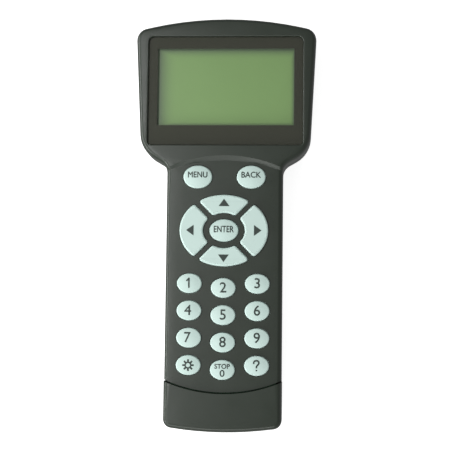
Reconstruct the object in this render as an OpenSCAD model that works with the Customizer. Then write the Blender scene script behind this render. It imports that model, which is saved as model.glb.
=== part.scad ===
// Hand controller for a motorised telescope mount, lying on its back.
// +Y runs from the sockets to the display, +Z from the back to the keys, and X = 0 is the middle.
// The origin lies under the middle of the back. All sizes are in millimetres.

/* [Display] */
// Width of the visible part of the display
view_w = 66.6; // [60:0.2:74]
// Height of the visible part of the display
view_h = 37.8; // [32:0.2:46]
// Top edge of the head to the visible part
view_drop = 14.9; // [13.5:0.1:20]
// Window border beside the visible part
window_side = 4.2; // [3:0.1:5]
// Window border above the visible part
window_above = 5.6; // [4:0.1:6.5]
// Window border below the visible part
window_below = 9.7; // [5:0.1:11]
// Thickness of the window plate
window_t = 1.5; // [1:0.1:2]
// How far the window lies below the face of the head
window_sink = 0.5; // [0.2:0.05:0.8]
// Corner radius of the window at the top
window_top_r = 2.8; // [1:0.1:4]
// Corner radius of the window at the bottom
window_low_r = 1.6; // [1:0.1:4]

/* [Head] */
// Side of the head to the visible part, at the top corners
head_side = 10.9; // [10:0.1:14]
// Side of the head to the visible part, at the shoulders
shoulder_side = 7.9; // [7.6:0.1:11]
// Visible part down to the corner of the shoulder
shoulder_below = 12.1; // [11.5:0.1:14]
// Slope of the shoulder edge from level, in degrees
shoulder_slope = 30; // [27:1:33]
// Visible part down to the crown of the arched step
arch_below = 14.9; // [14.5:0.1:18]
// Height of the arched step from the keypad face to the head
head_step = 1.6; // [1.3:0.1:3]
// How far the wall of the arched step leans back at its crown
arch_lean = 2.3; // [0.3:0.1:2.8]
// Slope of the top edge where it meets the corners, in degrees
top_slope = 12.4; // [8:0.2:15]

/* [Keypad] */
// Width of a number key
num_w = 11.9; // [9:0.1:13]
// Height of a number key
num_h = 9.4; // [8.4:0.1:11]
// Gap between two columns of number keys
col_gap = 4.4; // [3.6:0.1:6]
// Gap between two rows of number keys
row_gap = 3.6; // [2.8:0.1:6]
// How much lower the middle column of number keys sits
mid_drop = 2.1; // [0:0.1:3]
// Number keys to the side of the grip
num_side = 5.85; // [5.4:0.05:9]
// Width of the two keys under the arch
menu_w = 13.9; // [11:0.1:15]
// Height of the two keys under the arch
menu_h = 11.1; // [9:0.1:13]
// Gap between the two keys under the arch
menu_gap = 11.9; // [9:0.1:14]
// Crown of the arch to the two keys under it
arch_to_menu = 4.9; // [4.4:0.1:7]
// The two keys under the arch to the arrow ring
menu_to_ring = 3.15; // [2.6:0.05:6]
// Arrow ring to the number keys
ring_to_num = 3.6; // [3:0.1:6]
// Width of the middle key in the arrow ring
enter_w = 14; // [11:0.1:16]
// Height of the middle key in the arrow ring
enter_h = 10.8; // [9:0.1:13]
// Middle key to the arrow keys
enter_gap = 3.1; // [2.7:0.1:5]
// Width of the left and right arrow keys
arrow_side = 11.2; // [9:0.1:12.5]
// Height of the upper and lower arrow keys
arrow_band = 8.7; // [8.2:0.1:11]
// Gap between neighbouring arrow keys
arrow_gap = 2.6; // [2.4:0.1:4]
// Corner radius of the arrow keys
arrow_r = 0.9; // [0.5:0.1:1.4]
// How far the keys stand above the keypad face
key_rise = 1.6; // [1:0.1:2.5]
// Radius of the upper edge of a key
key_edge = 0.8; // [0.4:0.1:1]
// Crown of an oval key's top above its edge
key_dome = 0.5; // [0.2:0.1:0.8]
// Travel of a key
key_travel = 1.1; // [0.6:0.1:1.3]

/* [End cap] */
// Lowest number key to the seam of the end cap
num_to_seam = 5.95; // [5.4:0.05:9]
// Length of the end cap at the middle
cap_len = 18.8; // [18:0.1:26]
// Radius of the curved seam
seam_r = 70.5; // [60:0.5:90]
// Width of the seam
seam_gap = 0.75; // [0.2:0.05:0.9]
// Height of the end cap above the keypad face
cap_step = 1.2; // [0.6:0.1:2]
// How far the end cap stands out past the grip
cap_lip = 0.25; // [0:0.05:0.6]
// Slope of the bottom edge where it meets the corners, in degrees
foot_slope = 8; // [5:0.2:10]

/* [Case] */
// Wall thickness of the mouldings
wall = 2.2; // [1.8:0.1:2.6]
// Height of the parting plane above the back
split_h = 12.5; // [11.8:0.1:14]
// Height of the lip that centres the shells on each other
lip_h = 1; // [0.6:0.1:1.6]
// Radius of the back edges
back_r = 7; // [5:0.1:8]
// Inward run of the front edges
front_r = 2.2; // [1.4:0.1:3]
// Corner radius at the top of the head
top_corner_r = 6; // [4:0.2:8]
// Radius of the shoulders
shoulder_r = 14; // [11:0.5:15]
// Radius of the neck between head and grip
neck_r = 6; // [4:0.2:7]
// Corner radius at the foot
foot_corner_r = 4; // [3:0.2:6]

/* [Sockets] */
// Outer width of the six-way socket that takes the lead to the mount
mount_jack_w = 13.2; // [12.6:0.1:14]
// Cavity width of the six-way socket
mount_cavity_w = 9.8; // [9.6:0.05:10]
// Outer width of the four-way socket that takes the serial lead
serial_jack_w = 11.2; // [10.6:0.1:12]
// Cavity width of the four-way socket
serial_cavity_w = 7.8; // [7.6:0.05:8]
// Cavity height of both sockets
cavity_h = 6.8; // [6.6:0.05:7]
// Depth of the cavity of both sockets
cavity_len = 11.5; // [10:0.1:12.5]
// Outer height of both sockets
jack_h = 11.6; // [11.2:0.1:13]
// Length of both sockets
jack_len = 15; // [14:0.1:17]
// Gap between the two sockets
jack_gap = 2.8; // [2:0.1:3.6]
// How far the sockets lie behind the bottom edge
jack_sink = 0.9; // [0.5:0.1:1.4]

/* [Inside] */
// Thickness of the two circuit boards
board_t = 1.6; // [1.2:0.1:2]
// Space between the sockets and the back wall
jack_clear = 1.4; // [0.6:0.1:3]
// Thickness of the silicone mat under the keys
mat_t = 1; // [0.6:0.1:1.5]
// Height of the sprung webs of the mat
web_h = 1.8; // [1.6:0.1:2.5]
// Thickness of a key's flange
flange_t = 1; // [0.6:0.1:1.5]
// Width of a key's flange
flange_w = 1; // [0.6:0.1:1.1]
// Radius of a key's stem
stem_r = 2.4; // [1.8:0.1:2.6]
// Height of the display's metal frame
frame_h = 5; // [4.5:0.1:6]
// Border of the metal frame round the visible part
frame_edge = 2.6; // [2:0.1:3]
// Thickness of the display glass
glass_t = 2.2; // [1.6:0.1:2.6]
// Diameter of the clock cell
cell_d = 20; // [16:0.5:20]
// Thickness of the clock cell
cell_t = 3.2; // [1.6:0.1:3.2]
// Diameter of the reading light's lens
lens_d = 7; // [6:0.1:9]

/* [Screws] */
// Shank diameter of the case screws
screw_d = 2.6; // [2.2:0.1:3]
// Length of the case screws under the head
screw_len = 12; // [9:0.5:14]
// Head diameter of the case screws
screw_head_d = 5; // [4.4:0.1:5.4]
// Shank diameter of the board screws
pin_d = 1.8; // [1.6:0.1:2.2]
// Length of the board screws under the head
pin_len = 4.6; // [4:0.1:5]

/* [Clearances] */
// Gap round a key in its opening
key_gap = 0.35; // [0.25:0.05:0.5]
// Gap between loosely fitted pieces
fit = 0.15; // [0.1:0.05:0.25]
// Gap between a circuit board and the walls
board_gap = 0.5; // [0.3:0.1:1]

/* [Hidden] */
$fn = 48;
case_grey = [0.27, 0.29, 0.26];
back_grey = [0.24, 0.26, 0.24];
window_tint = [0.24, 0.24, 0.22, 0.35];
key_white = [0.76, 0.84, 0.81];
mat_white = [0.7, 0.74, 0.72];
tape_black = [0.08, 0.08, 0.08];
display_green = [0.49, 0.6, 0.4];
steel = [0.72, 0.73, 0.75];
board_green = [0.1, 0.32, 0.18];
chip_black = [0.12, 0.12, 0.13];
gold = [0.83, 0.68, 0.3];
clear_white = [0.9, 0.92, 0.9, 0.6];

// Small fixed sizes of the mouldings
ledge_t = 1;
ledge_edge = 1;
web_t = 0.6;
web_run = 1;
boss_r = 3;
boss_drop = 0.5;
post_r = 3.7;
small_boss_r = 2.2;
small_boss_in = 0.8;
head_recess = 6;
head_room = 0.3;
pilot_past = 0.4;
inner_bevel = 1;
top_arc_in = 2;
foot_arc_in = 0.5;
least_r = 1.5;

// Small fixed sizes of the display
tape_t = 0.2;
gasket_t = 0.6;
sheet_t = 0.5;
frame_fit = 0.3;
strip_w = 1.5;
strip_in = 3.5;
lcd_edge = [1.9, 5];
lcd_screw_in = [2.8, 2.5];

// Screw places and fits
top_screw_in = 13.8;
shoulder_screw_out = 0.4;
foot_screw_in = 13.5;
foot_screw_web = 1;
board_screw_in = [2.6, 1.4];
screw_head_h = 2;
pin_head_d = 3.8;
pin_head_h = 1.4;
thread_fit = 0.1;
pin_room = 0.2;

// Small fixed sizes of what the boards carry
board_past_arch = 0.6;
led_hole_r = 1.4;
led_chip = [1.6, 0.8, 0.7];
led_rows = [0.5, 2.5];
processor = [14, 14, 1.4];
driver = [8, 5, 1.5];
driver_x = 12;
line_chip = [6.5, 5, 1.5];
line_chip_at = [6, 4];
buzzer_r = 6;
buzzer_h = 5.5;
buzzer_hole_r = 1;
buzzer_hole_depth = 3.5;
cell_seat = 0.8;
cell_rim = 1.2;
holder_wall = 1.5;
holder_sink = 0.6;
ribbon_w = 18;
ribbon_t = 0.3;
ribbon_sag = 3.5;
ribbon_slot = 0.5;
socket_h = 2.2;
socket_len = 5;
socket_side = 1.5;
socket_in = 1;

// Small fixed sizes of the sockets and their contact wires
jack_roof = 2;
latch_w = 6.2;
latch_floor = 1;
tab_w = 3.4;
tab_floor = 0.6;
wire_pitch = 1.02;
wire_t = 0.45;
wire_len = 8;
wire_lean = 13;
wire_in = 2;

// Small fixed sizes of the reading light
lens_rim = 0.8;
lens_flange = 1;
lens_recess = 0.3;
led_d = 5;
led_len = 8;
led_gap = 0.4;
led_collar = 0.4;
led_collar_h = 1;
lead_pitch = 2.54;
lead_t = 0.5;

// How far a cut runs past the face that it opens, and past the whole part
past = 1;
beyond = 20;

// Corner steps of the body outline: foot arc, foot corner, neck, shoulder, top corner, top arc
STEPS = [8, 6, 6, 8, 6, 10];
// The arched step leaves the outline after this many steps of the neck arc
ARCH_STEP = 2;
ARCH_POINTS = 20;
EDGE_STEPS = 5;
CROWN_STEPS = 4;
ARROW_STEPS = [8, 3];
WINDOW_STEPS = 6;
RIBBON_STEPS = 24;

// Places along Y
num_pitch = num_h + row_gap;
col_pitch = num_w + col_gap;
num_rows = 4;
ring_hole_w = enter_w + 2 * enter_gap;
ring_hole_h = enter_h + 2 * enter_gap;
ring_w = ring_hole_w + 2 * arrow_side;
ring_h = ring_hole_h + 2 * arrow_band;
keypad_len = arch_to_menu + menu_h + menu_to_ring + ring_h + ring_to_num
    + num_h + (num_rows - 1) * num_pitch + mid_drop + num_to_seam;
body_len = view_drop + view_h + arch_below + keypad_len + cap_len;
top_y = (body_len + cap_lip) / 2;
foot_y = top_y - body_len;
view_top = top_y - view_drop;
view_low = view_top - view_h;
view_y = (view_top + view_low) / 2;
shoulder_y = view_low - shoulder_below;
crown_y = view_low - arch_below;
menu_y = crown_y - arch_to_menu - menu_h / 2;
ring_y = menu_y - menu_h / 2 - menu_to_ring - ring_h / 2;
num_y = ring_y - ring_h / 2 - ring_to_num - num_h / 2;
seam_y = foot_y + cap_len;
lens_y = menu_y - menu_h / 2;
cell_y = num_y - 2 * num_pitch;
board_end = crown_y + board_past_arch;

// Places along X
head_w = view_w + 2 * head_side;
shoulder_w = view_w + 2 * shoulder_side;
grip_w = 2 * col_pitch + num_w + 2 * num_side;
menu_x = (menu_w + menu_gap) / 2;
mount_jack_x = (mount_jack_w - serial_jack_w) / 4 - (mount_jack_w + jack_gap) / 2;
serial_jack_x = (mount_jack_w - serial_jack_w) / 4 + (serial_jack_w + jack_gap) / 2;

// Heights, from the back upwards through the sockets, the board and the keys
jack_z = wall + jack_clear;
board_low = jack_z + jack_h;
board_top = board_low + board_t;
mat_top = board_top + mat_t;
flange_z = mat_top + web_h;
flange_top = flange_z + flange_t;
ceiling_z = flange_top + fit;
face_z = ceiling_z + wall;
head_z = face_z + head_step;
cap_z = face_z + cap_step;
key_top = face_z + key_rise;
pill_z = board_top + key_travel + fit;
boss_z = split_h - lip_h - boss_drop;
cell_low = board_low - cell_seat - cell_t;

// Heights of the display, from the face of the head downwards
ledge_z = head_z - window_sink - window_t - tape_t;
roof_z = ledge_z - ledge_t;
frame_top = roof_z - gasket_t;
lcd_top = frame_top - frame_h;
lcd_low = lcd_top - board_t;
glass_top = frame_top - sheet_t;
glass_low = glass_top - glass_t;

// Display module
frame_w = view_w + 2 * frame_edge;
frame_l = view_h + 2 * frame_edge;
lcd_w = frame_w + 2 * lcd_edge.x;
lcd_l = frame_l + 2 * lcd_edge.y;
lcd_foot = view_y - lcd_l / 2;
glass_w = frame_w - 2 * (sheet_t + frame_fit);
glass_l = frame_l - 2 * (sheet_t + frame_fit);

// Screw places, one of each mirrored pair
top_screw = [lcd_w / 2 - top_screw_in, view_top + frame_edge + boss_r + board_gap];
shoulder_screw = [grip_w / 2 + shoulder_screw_out, lcd_foot - boss_r - board_gap];
foot_screw = [serial_jack_x + serial_jack_w / 2 + foot_screw_web + fit + post_r, foot_y + foot_screw_in];
lcd_screws_at = [lcd_w, lcd_l] / 2 - lcd_screw_in;
board_screw_x = grip_w / 2 - wall - board_gap - small_boss_r - small_boss_in;
board_screws_y = [ring_y + ring_h / 2 - board_screw_in[0], ring_y - ring_h / 2 + board_screw_in[1]];

// Places of the sockets of the display's ribbon, and the radius inside a web of the mat
lcd_socket_y = lcd_foot + socket_len / 2 + socket_in;
board_socket_y = board_end - socket_len / 2 - socket_in;
web_r = stem_r + 2 * fit;
lip_in = wall / 2;
arrow_outer = [ring_w, ring_h] / 2;
arrow_inner = [ring_hole_w, ring_hole_h] / 2;

NUMBERS = ["key_1", "key_2", "key_3", "key_4", "key_5", "key_6",
    "key_7", "key_8", "key_9", "key_light", "key_0", "key_help"];
ARROWS = ["key_up", "key_left", "key_down", "key_right"];

// Outlines. A corner is [x, y, radius, steps], corners run anticlockwise, and inset moves every edge inwards.

function xy(v) = [v.x, v.y];
function unit(v) = v / norm(v);
function left_of(v) = [-v.y, v.x];
function turned(v, a) = [v.x * cos(a) - v.y * sin(a), v.x * sin(a) + v.y * cos(a)];
function turn_angle(u, v) = atan2(u.x * v.y - u.y * v.x, u * v);
function around(list, i) = list[(i + len(list)) % len(list)];
function mirrored(corners) = [for (i = [len(corners) - 1:-1:0]) let (c = corners[i]) [-c[0], c[1], c[2], c[3]]];

function moved(shape, i, inset) =
    let (here = xy(around(shape, i)),
        u = left_of(unit(here - xy(around(shape, i - 1)))),
        v = left_of(unit(xy(around(shape, i + 1)) - here)))
    here + inset * (u + v) / (1 + u * v);

function corner_points(shape, i, inset) =
    let (a = moved(shape, i - 1, inset),
        b = moved(shape, i, inset),
        c = moved(shape, i + 1, inset),
        u = unit(b - a),
        t = turn_angle(u, unit(c - b)),
        r = max(min(least_r, shape[i][2]), shape[i][2] - sign(t) * inset),
        start = b - u * r * tan(abs(t) / 2),
        centre = start + sign(t) * r * left_of(u),
        steps = shape[i][3])
    steps == 0 ? [b] : [for (k = [0:steps]) centre + turned(start - centre, t * k / steps)];

function outline(shape, inset) = [for (i = [0:len(shape) - 1]) each corner_points(shape, i, inset)];

function body_shape() =
    let (foot_r = (grip_w / 2 - foot_corner_r - foot_arc_in) / sin(foot_slope),
        tip_y = foot_y - foot_r * (1 / cos(foot_slope) - 1),
        top_r = (head_w / 2 - top_corner_r - top_arc_in) / sin(top_slope),
        peak_y = top_y + top_r * (1 / cos(top_slope) - 1),
        neck_y = shoulder_y - (shoulder_w - grip_w) / 2 * tan(shoulder_slope),
        right = [
            [grip_w / 2, tip_y + grip_w / 2 * tan(foot_slope), foot_corner_r, STEPS[1]],
            [grip_w / 2, neck_y, neck_r, STEPS[2]],
            [shoulder_w / 2, shoulder_y, shoulder_r, STEPS[3]],
            [head_w / 2, peak_y - head_w / 2 * tan(top_slope), top_corner_r, STEPS[4]]])
    concat([[0, tip_y, foot_r, STEPS[0]]], right, [[0, peak_y, top_r, STEPS[5]]], mirrored(right));

// An arrow key of the ring, pointing to +Y, between two ellipses of half axes outer and inner
function wedge_x(half, c) =
    let (p = 1 / pow(half.x, 2) + 1 / pow(half.y, 2),
        q = c / pow(half.y, 2),
        s = pow(c / half.y, 2) - 1)
    (sqrt(q * q - p * s) - q) / p;

function arrow_shape(outer, inner) =
    let (c = arrow_gap / 2 * sqrt(2),
        x_out = wedge_x(outer, c),
        x_in = wedge_x(inner, c),
        a_out = acos(x_out / outer.x),
        a_in = acos(x_in / inner.x),
        arc = ARROW_STEPS[0],
        bend = ARROW_STEPS[1])
    concat(
        [[x_in, x_in + c, arrow_r, bend], [x_out, x_out + c, arrow_r, bend]],
        [for (k = [1:arc - 1]) let (a = a_out + (180 - 2 * a_out) * k / arc)
            [outer.x * cos(a), outer.y * sin(a), 0, 0]],
        [[-x_out, x_out + c, arrow_r, bend], [-x_in, x_in + c, arrow_r, bend]],
        [for (k = [1:arc - 1]) let (a = 180 - a_in - (180 - 2 * a_in) * k / arc)
            [inner.x * cos(a), inner.y * sin(a), 0, 0]]);

// Solids through rings of one outline

// A ring is [inset, height]
function ring_points(shape, rings) = [for (g = rings) each [for (p = outline(shape, g[0])) [p.x, p.y, g[1]]]];
function ring_sides(count, n) =
    [for (j = [0:count - 2]) for (i = [0:n - 1])
        let (a = j * n + i, b = j * n + (i + 1) % n)
        each [[a, b + n, b], [a, a + n, b + n]]];

// A form whose flat ends fan out from hub
module fan_loft(shape, rings, hub) {
    n = len(outline(shape, 0));
    last = (len(rings) - 1) * n;
    low_hub = last + n;
    hubs = [for (r = [rings[0], rings[len(rings) - 1]]) [hub.x, hub.y, r[1]]];
    points = concat(ring_points(shape, rings), hubs);
    ends = [for (i = [0:n - 1])
        let (k = (i + 1) % n)
        each [[low_hub, i, k], [low_hub + 1, last + k, last + i]]];
    polyhedron(points, concat(ring_sides(len(rings), n), ends), convexity = 6);
}

// The flat end of a body of n points, as rungs between the points that mirror each other
function rungs(n) =
    let (middle = STEPS[0] / 2, count = n / 2)
    [for (k = [0:count - 1])
        let (a = middle + k, d = (n + middle - k) % n, c = (n + d - 1) % n)
        k == 0 ? [a, a + 1, c] : k == count - 1 ? [a, a + 1, d] : [a, a + 1, c, d]];

module body_loft(rings) {
    n = len(outline(body_shape(), 0));
    last = (len(rings) - 1) * n;
    top = [for (f = rungs(n)) [for (i = [len(f) - 1:-1:0]) last + f[i]]];
    faces = concat(rungs(n), top, ring_sides(len(rings), n));
    polyhedron(ring_points(body_shape(), rings), faces, convexity = 6);
}

function arch_arc(end, crown) =
    let (rise = crown - end.y,
        r = (end.x * end.x + rise * rise) / (2 * rise),
        half = atan2(end.x, r - rise))
    [for (k = [1:ARCH_POINTS - 1]) let (a = 90 - half + 2 * half * k / ARCH_POINTS)
        [r * cos(a), crown - r + r * sin(a)]];

// The body with its arched step. Each ring is [inset, height in the grip, height in the head], the first rings
// level all round, and the step's wall runs from low_crown in the grip to high_crown in the head.
module stepped_body(rings, low_crown, high_crown) {
    shape = body_shape();
    n = len(outline(shape, 0));
    right = STEPS[0] + STEPS[1] + 2 + ARCH_STEP;
    left = n + STEPS[0] - right;
    grip = concat([for (i = [left + 1:n - 1]) i], [for (i = [0:right - 1]) i]);
    columns = concat(grip, [for (i = [right:left]) i]);
    g = len(grip);
    m = len(columns);
    last = len(rings) - 1;
    top = outline(shape, rings[last][0]);
    low_arc = arch_arc(top[right - 1], low_crown);
    high_arc = arch_arc(top[right], high_crown);
    low_z = rings[last][1];
    high_z = rings[last][2];
    points = concat(
        [for (r = rings) let (o = outline(shape, r[0])) for (c = [0:m - 1])
            [o[columns[c]].x, o[columns[c]].y, c < g ? r[1] : r[2]]],
        [for (p = low_arc) [p.x, p.y, low_z]],
        [for (p = high_arc) [p.x, p.y, high_z]],
        [[0, view_y, rings[0][1]], [0, ring_y, low_z], [0, view_y, high_z]]);
    low_first = len(rings) * m;
    high_first = low_first + len(low_arc);
    hub = high_first + len(high_arc);
    function spot(j, c) = j * m + c % m;
    low_line = concat([spot(last, g - 1)], [for (i = [0:len(low_arc) - 1]) low_first + i], [spot(last, 0)]);
    high_line = concat([spot(last, g)], [for (i = [0:len(high_arc) - 1]) high_first + i], [spot(last, m - 1)]);
    sides = [for (j = [0:last - 1]) for (c = [0:m - 1])
        let (a = spot(j, c), b = spot(j, c + 1), d = spot(j + 1, c + 1), e = spot(j + 1, c))
        each [[a, d, b], [a, e, d]]];
    floor_fan = [for (c = [0:m - 1]) [hub, spot(0, c), spot(0, c + 1)]];
    low_fan = concat(
        [for (c = [0:g - 2]) [hub + 1, spot(last, c + 1), spot(last, c)]],
        [for (i = [0:ARCH_POINTS - 1]) [hub + 1, low_line[i + 1], low_line[i]]]);
    high_fan = concat(
        [for (c = [g:m - 2]) [hub + 2, spot(last, c + 1), spot(last, c)]],
        [for (i = [0:ARCH_POINTS - 1]) [hub + 2, high_line[i], high_line[i + 1]]]);
    step_wall = [for (i = [0:ARCH_POINTS - 1])
        each [[low_line[i + 1], high_line[i + 1], high_line[i]], [low_line[i + 1], high_line[i], low_line[i]]]];
    faces = concat(sides, floor_fan, low_fan, high_fan, step_wall);
    polyhedron(points, faces, convexity = 8);
}

// Helpers for repeated forms

module both_sides(p) {
    for (s = [-1, 1]) {
        translate([s * p.x, p.y, 0]) children();
    }
}

module plate(w, l, low, high) {
    translate([0, 0, low]) linear_extrude(high - low) square([w, l], center = true);
}

module rod(r, low, high) {
    translate([0, 0, low]) cylinder(r = r, h = high - low);
}

module at_view() {
    translate([0, view_y, 0]) children();
}

module lcd_corners() {
    for (s = [-1, 1]) {
        translate([0, view_y + s * lcd_screws_at.y, 0]) both_sides([lcd_screws_at.x, 0]) children();
    }
}

module board_corners() {
    for (y = board_screws_y) {
        both_sides([board_screw_x, y]) children();
    }
}

module case_corners(head = true, foot = true) {
    if (head) {
        both_sides(top_screw) children();
        both_sides(shoulder_screw) children();
    }
    if (foot) {
        both_sides(foot_screw) children();
    }
}

// A pan-head screw pointing to +Z, with its head under z = seat
module screw(seat, d, length, head_d, head_h) {
    cross_l = head_d * 0.6;
    cross_w = head_d * 0.14;
    cross_h = head_h * 0.45;
    rod(d / 2, seat - head_h / 2, seat + length);
    difference() {
        rod(head_d / 2, seat - head_h, seat);
        for (a = [0, 90]) {
            rotate(a) plate(cross_l, cross_w, seat - head_h - past, seat - head_h + cross_h);
        }
    }
}

// Keys

function number_spot(i) =
    [(i % 3 - 1) * col_pitch, num_y - floor(i / 3) * num_pitch - (i % 3 == 1 ? mid_drop : 0)];

OVALS = concat(
    [[-menu_x, menu_y, menu_w, menu_h], [menu_x, menu_y, menu_w, menu_h], [0, ring_y, enter_w, enter_h]],
    [for (i = [0:len(NUMBERS) - 1]) [number_spot(i).x, number_spot(i).y, num_w, num_h]]);

// Arrow i points up, left, down or right, and the ellipses swap axes for left and right
function arrow_form(i) =
    i % 2 == 0 ? arrow_shape(arrow_outer, arrow_inner)
    : arrow_shape([arrow_outer.y, arrow_outer.x], [arrow_inner.y, arrow_inner.x]);
function arrow_hub(i) =
    [0, i % 2 == 0 ? (arrow_outer.y + arrow_inner.y) / 2 : (arrow_outer.x + arrow_inner.x) / 2];

STEMS = concat(
    [for (k = OVALS) [k[0], k[1]]],
    [for (i = [0:3]) [0, ring_y] + turned(arrow_hub(i), 90 * i)]);

// Inset and height of the rounded edge of a key that ends at height top
function key_rim(top) =
    [for (k = [0:CROWN_STEPS]) let (a = 90 * k / CROWN_STEPS)
        [key_edge * (1 - cos(a)), top - key_edge * (1 - sin(a))]];

// The same for the crown of a key that is half wide
function key_crown(half) =
    [for (k = [1:CROWN_STEPS]) let (s = k / (CROWN_STEPS + 1))
        [key_edge + (half - key_edge) * s, key_top - key_dome * (1 - s) * (1 - s)]];

module stem() {
    rod(stem_r, pill_z, flange_z + flange_t / 2);
}

module oval_key(k) {
    half = k[2] / 2;
    profile = concat(
        [[0, pill_z], [stem_r, pill_z], [stem_r, flange_z]],
        [[half + flange_w, flange_z], [half + flange_w, flange_top], [half, flange_top]],
        [for (c = concat(key_rim(key_top - key_dome), key_crown(half))) [half - c[0], c[1]]],
        [[0, key_top]]);
    color(key_white) translate([k[0], k[1], 0]) for (a = [0, 180]) {
        scale([1, k[3] / k[2], 1]) rotate(a) rotate_extrude(angle = 180) polygon(profile);
    }
}

module arrow_key(i) {
    hub = arrow_hub(i);
    rings = concat([[-flange_w, flange_z], [-flange_w, flange_top], [0, flange_top]], key_rim(key_top));
    color(key_white) translate([0, ring_y, 0]) rotate(90 * i) {
        fan_loft(arrow_form(i), rings, hub);
        translate(hub) stem();
    }
}

module key_menu() { oval_key(OVALS[0]); }
module key_back() { oval_key(OVALS[1]); }
module key_enter() { oval_key(OVALS[2]); }
module number_key(i) { oval_key(OVALS[3 + i]); }

module key_openings() {
    for (k = OVALS) {
        translate([k[0], k[1], 0]) linear_extrude(beyond * 2)
            scale([k[2] / 2 + key_gap, k[3] / 2 + key_gap]) circle(1);
    }
    for (i = [0:3]) {
        translate([0, ring_y, 0]) rotate(90 * i) linear_extrude(beyond * 2)
            polygon(outline(arrow_form(i), -key_gap));
    }
}

// Silicone mat: a sheet on the board with a cone-shaped web under each key

module web() {
    foot_r = web_r + web_run;
    rotate_extrude() polygon([[foot_r, board_top], [foot_r + web_t, board_top], [foot_r + web_t, mat_top],
        [web_r + web_t, flange_z - fit], [web_r, flange_z - fit], [foot_r, mat_top]]);
}

module keypad_mat() {
    low = number_spot(10).y - num_h / 2 - flange_w;
    high = menu_y + menu_h / 2 + flange_w;
    color(mat_white) {
        difference() {
            translate([0, 0, board_top]) linear_extrude(mat_t) intersection() {
                polygon(outline(body_shape(), wall + board_gap));
                translate([-grip_w / 2, low]) square([grip_w, high - low]);
            }
            for (p = STEMS) {
                translate([p.x, p.y, 0]) rod(web_r + web_run + web_t / 2, board_top - past, mat_top + past);
            }
            board_corners() rod(small_boss_r + board_gap, board_top - past, mat_top + past);
            for (p = led_spots()) {
                translate([p.x, p.y, 0]) rod(led_hole_r, board_top - past, mat_top + past);
            }
        }
        for (p = STEMS) {
            translate([p.x, p.y, 0]) web();
        }
    }
}

// Case

// Rings that round over from a flat back at height low to an upright wall at the given inset
function rounded_rings(inset, low, r) =
    [for (k = [0:EDGE_STEPS]) let (a = 90 * k / EDGE_STEPS) [inset + r * (1 - sin(a)), low + r * (1 - cos(a))]];

module rear_outer() {
    rings = concat(rounded_rings(0, 0, back_r), [[0, split_h], [lip_in, split_h],
        [lip_in, split_h + lip_h], [wall, split_h + lip_h]]);
    body_loft(rings);
}

module rear_hollow() {
    open_z = split_h + lip_h + past;
    body_loft(concat(rounded_rings(wall, wall, back_r - wall), [[wall, open_z]]));
}

module jack_openings() {
    for (j = [[mount_jack_x, mount_jack_w], [serial_jack_x, serial_jack_w]]) {
        translate([j[0], foot_y, 0]) plate(j[1] + 2 * fit, beyond, jack_z - fit, board_low + fit);
    }
}

// The hollow back with a post for each case screw
module rear_body() {
    difference() {
        rear_outer();
        difference() {
            rear_hollow();
            case_corners() rod(post_r, 0, boss_z);
        }
    }
}

module rear_shell() {
    color(back_grey) difference() {
        rear_body();
        case_corners() {
            rod(screw_head_d / 2 + head_room, -past, head_recess);
            rod(screw_d / 2 + head_room, 0, boss_z + past);
        }
        jack_openings();
        translate([0, lens_y, 0]) rod(lens_d / 2 + fit, -past, wall + past);
    }
}

// Outer rings of a front moulding, [inset, grip height, head height], with an edge that rounds over by front_r
function front_rings(low_z, high_z, grow) =
    let (start = ceiling_z - fit - flange_t)
    concat([[-grow, split_h, split_h]],
        [for (k = [0:EDGE_STEPS]) let (a = 90 * k / EDGE_STEPS)
            [front_r * (1 - cos(a)) - grow,
                start + (low_z - start) * sin(a),
                start + (high_z - start) * sin(a)]]);

function hollow_rings(low_z, high_z) =
    let (lip = lip_in - fit,
        open_z = split_h - past,
        step_z = split_h + lip_h + fit,
        start = low_z - inner_bevel)
    [[lip, open_z, open_z], [lip, step_z, step_z], [wall, step_z, step_z], [wall, start, start],
        [wall + inner_bevel, low_z, high_z]];

module front_pins() {
    case_corners(foot = false) rod(boss_r, boss_z, head_z);
    lcd_corners() rod(small_boss_r, lcd_top, head_z);
    board_corners() rod(small_boss_r, board_top, head_z);
}

module window_form(grow) {
    w = view_w / 2 + window_side + grow;
    low = view_low - window_below - grow;
    high = view_top + window_above + grow;
    right = [[w, low, window_low_r, WINDOW_STEPS], [w, high, window_top_r, WINDOW_STEPS]];
    polygon(outline(concat(right, mirrored(right)), 0));
}

module above_seam(r) {
    translate([0, seam_y + seam_r]) circle(r);
    translate([-head_w, seam_y + seam_r]) square([2 * head_w, body_len]);
}

module front_shell() {
    color(case_grey) difference() {
        stepped_body(front_rings(face_z, head_z, 0), crown_y - arch_lean, crown_y);
        difference() {
            stepped_body(hollow_rings(ceiling_z, roof_z), crown_y, crown_y + inner_bevel);
            front_pins();
        }
        translate([0, 0, ledge_z]) linear_extrude(beyond) window_form(fit);
        at_view() plate(view_w + 2 * ledge_edge, view_h + 2 * ledge_edge, roof_z - past, head_z);
        key_openings();
        linear_extrude(head_z + beyond) difference() {
            translate([-head_w, -body_len]) square([2 * head_w, body_len + seam_y + seam_r - past]);
            above_seam(seam_r);
        }
        case_corners(foot = false) rod(screw_d / 2, boss_z - past, head_recess + screw_len + past);
        lcd_corners() rod(pin_d / 2, lcd_top - past, lcd_top + pin_len - board_t + pilot_past);
        board_corners() rod(pin_d / 2, board_top - past, board_top + pin_len - board_t + pilot_past);
    }
}

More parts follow.
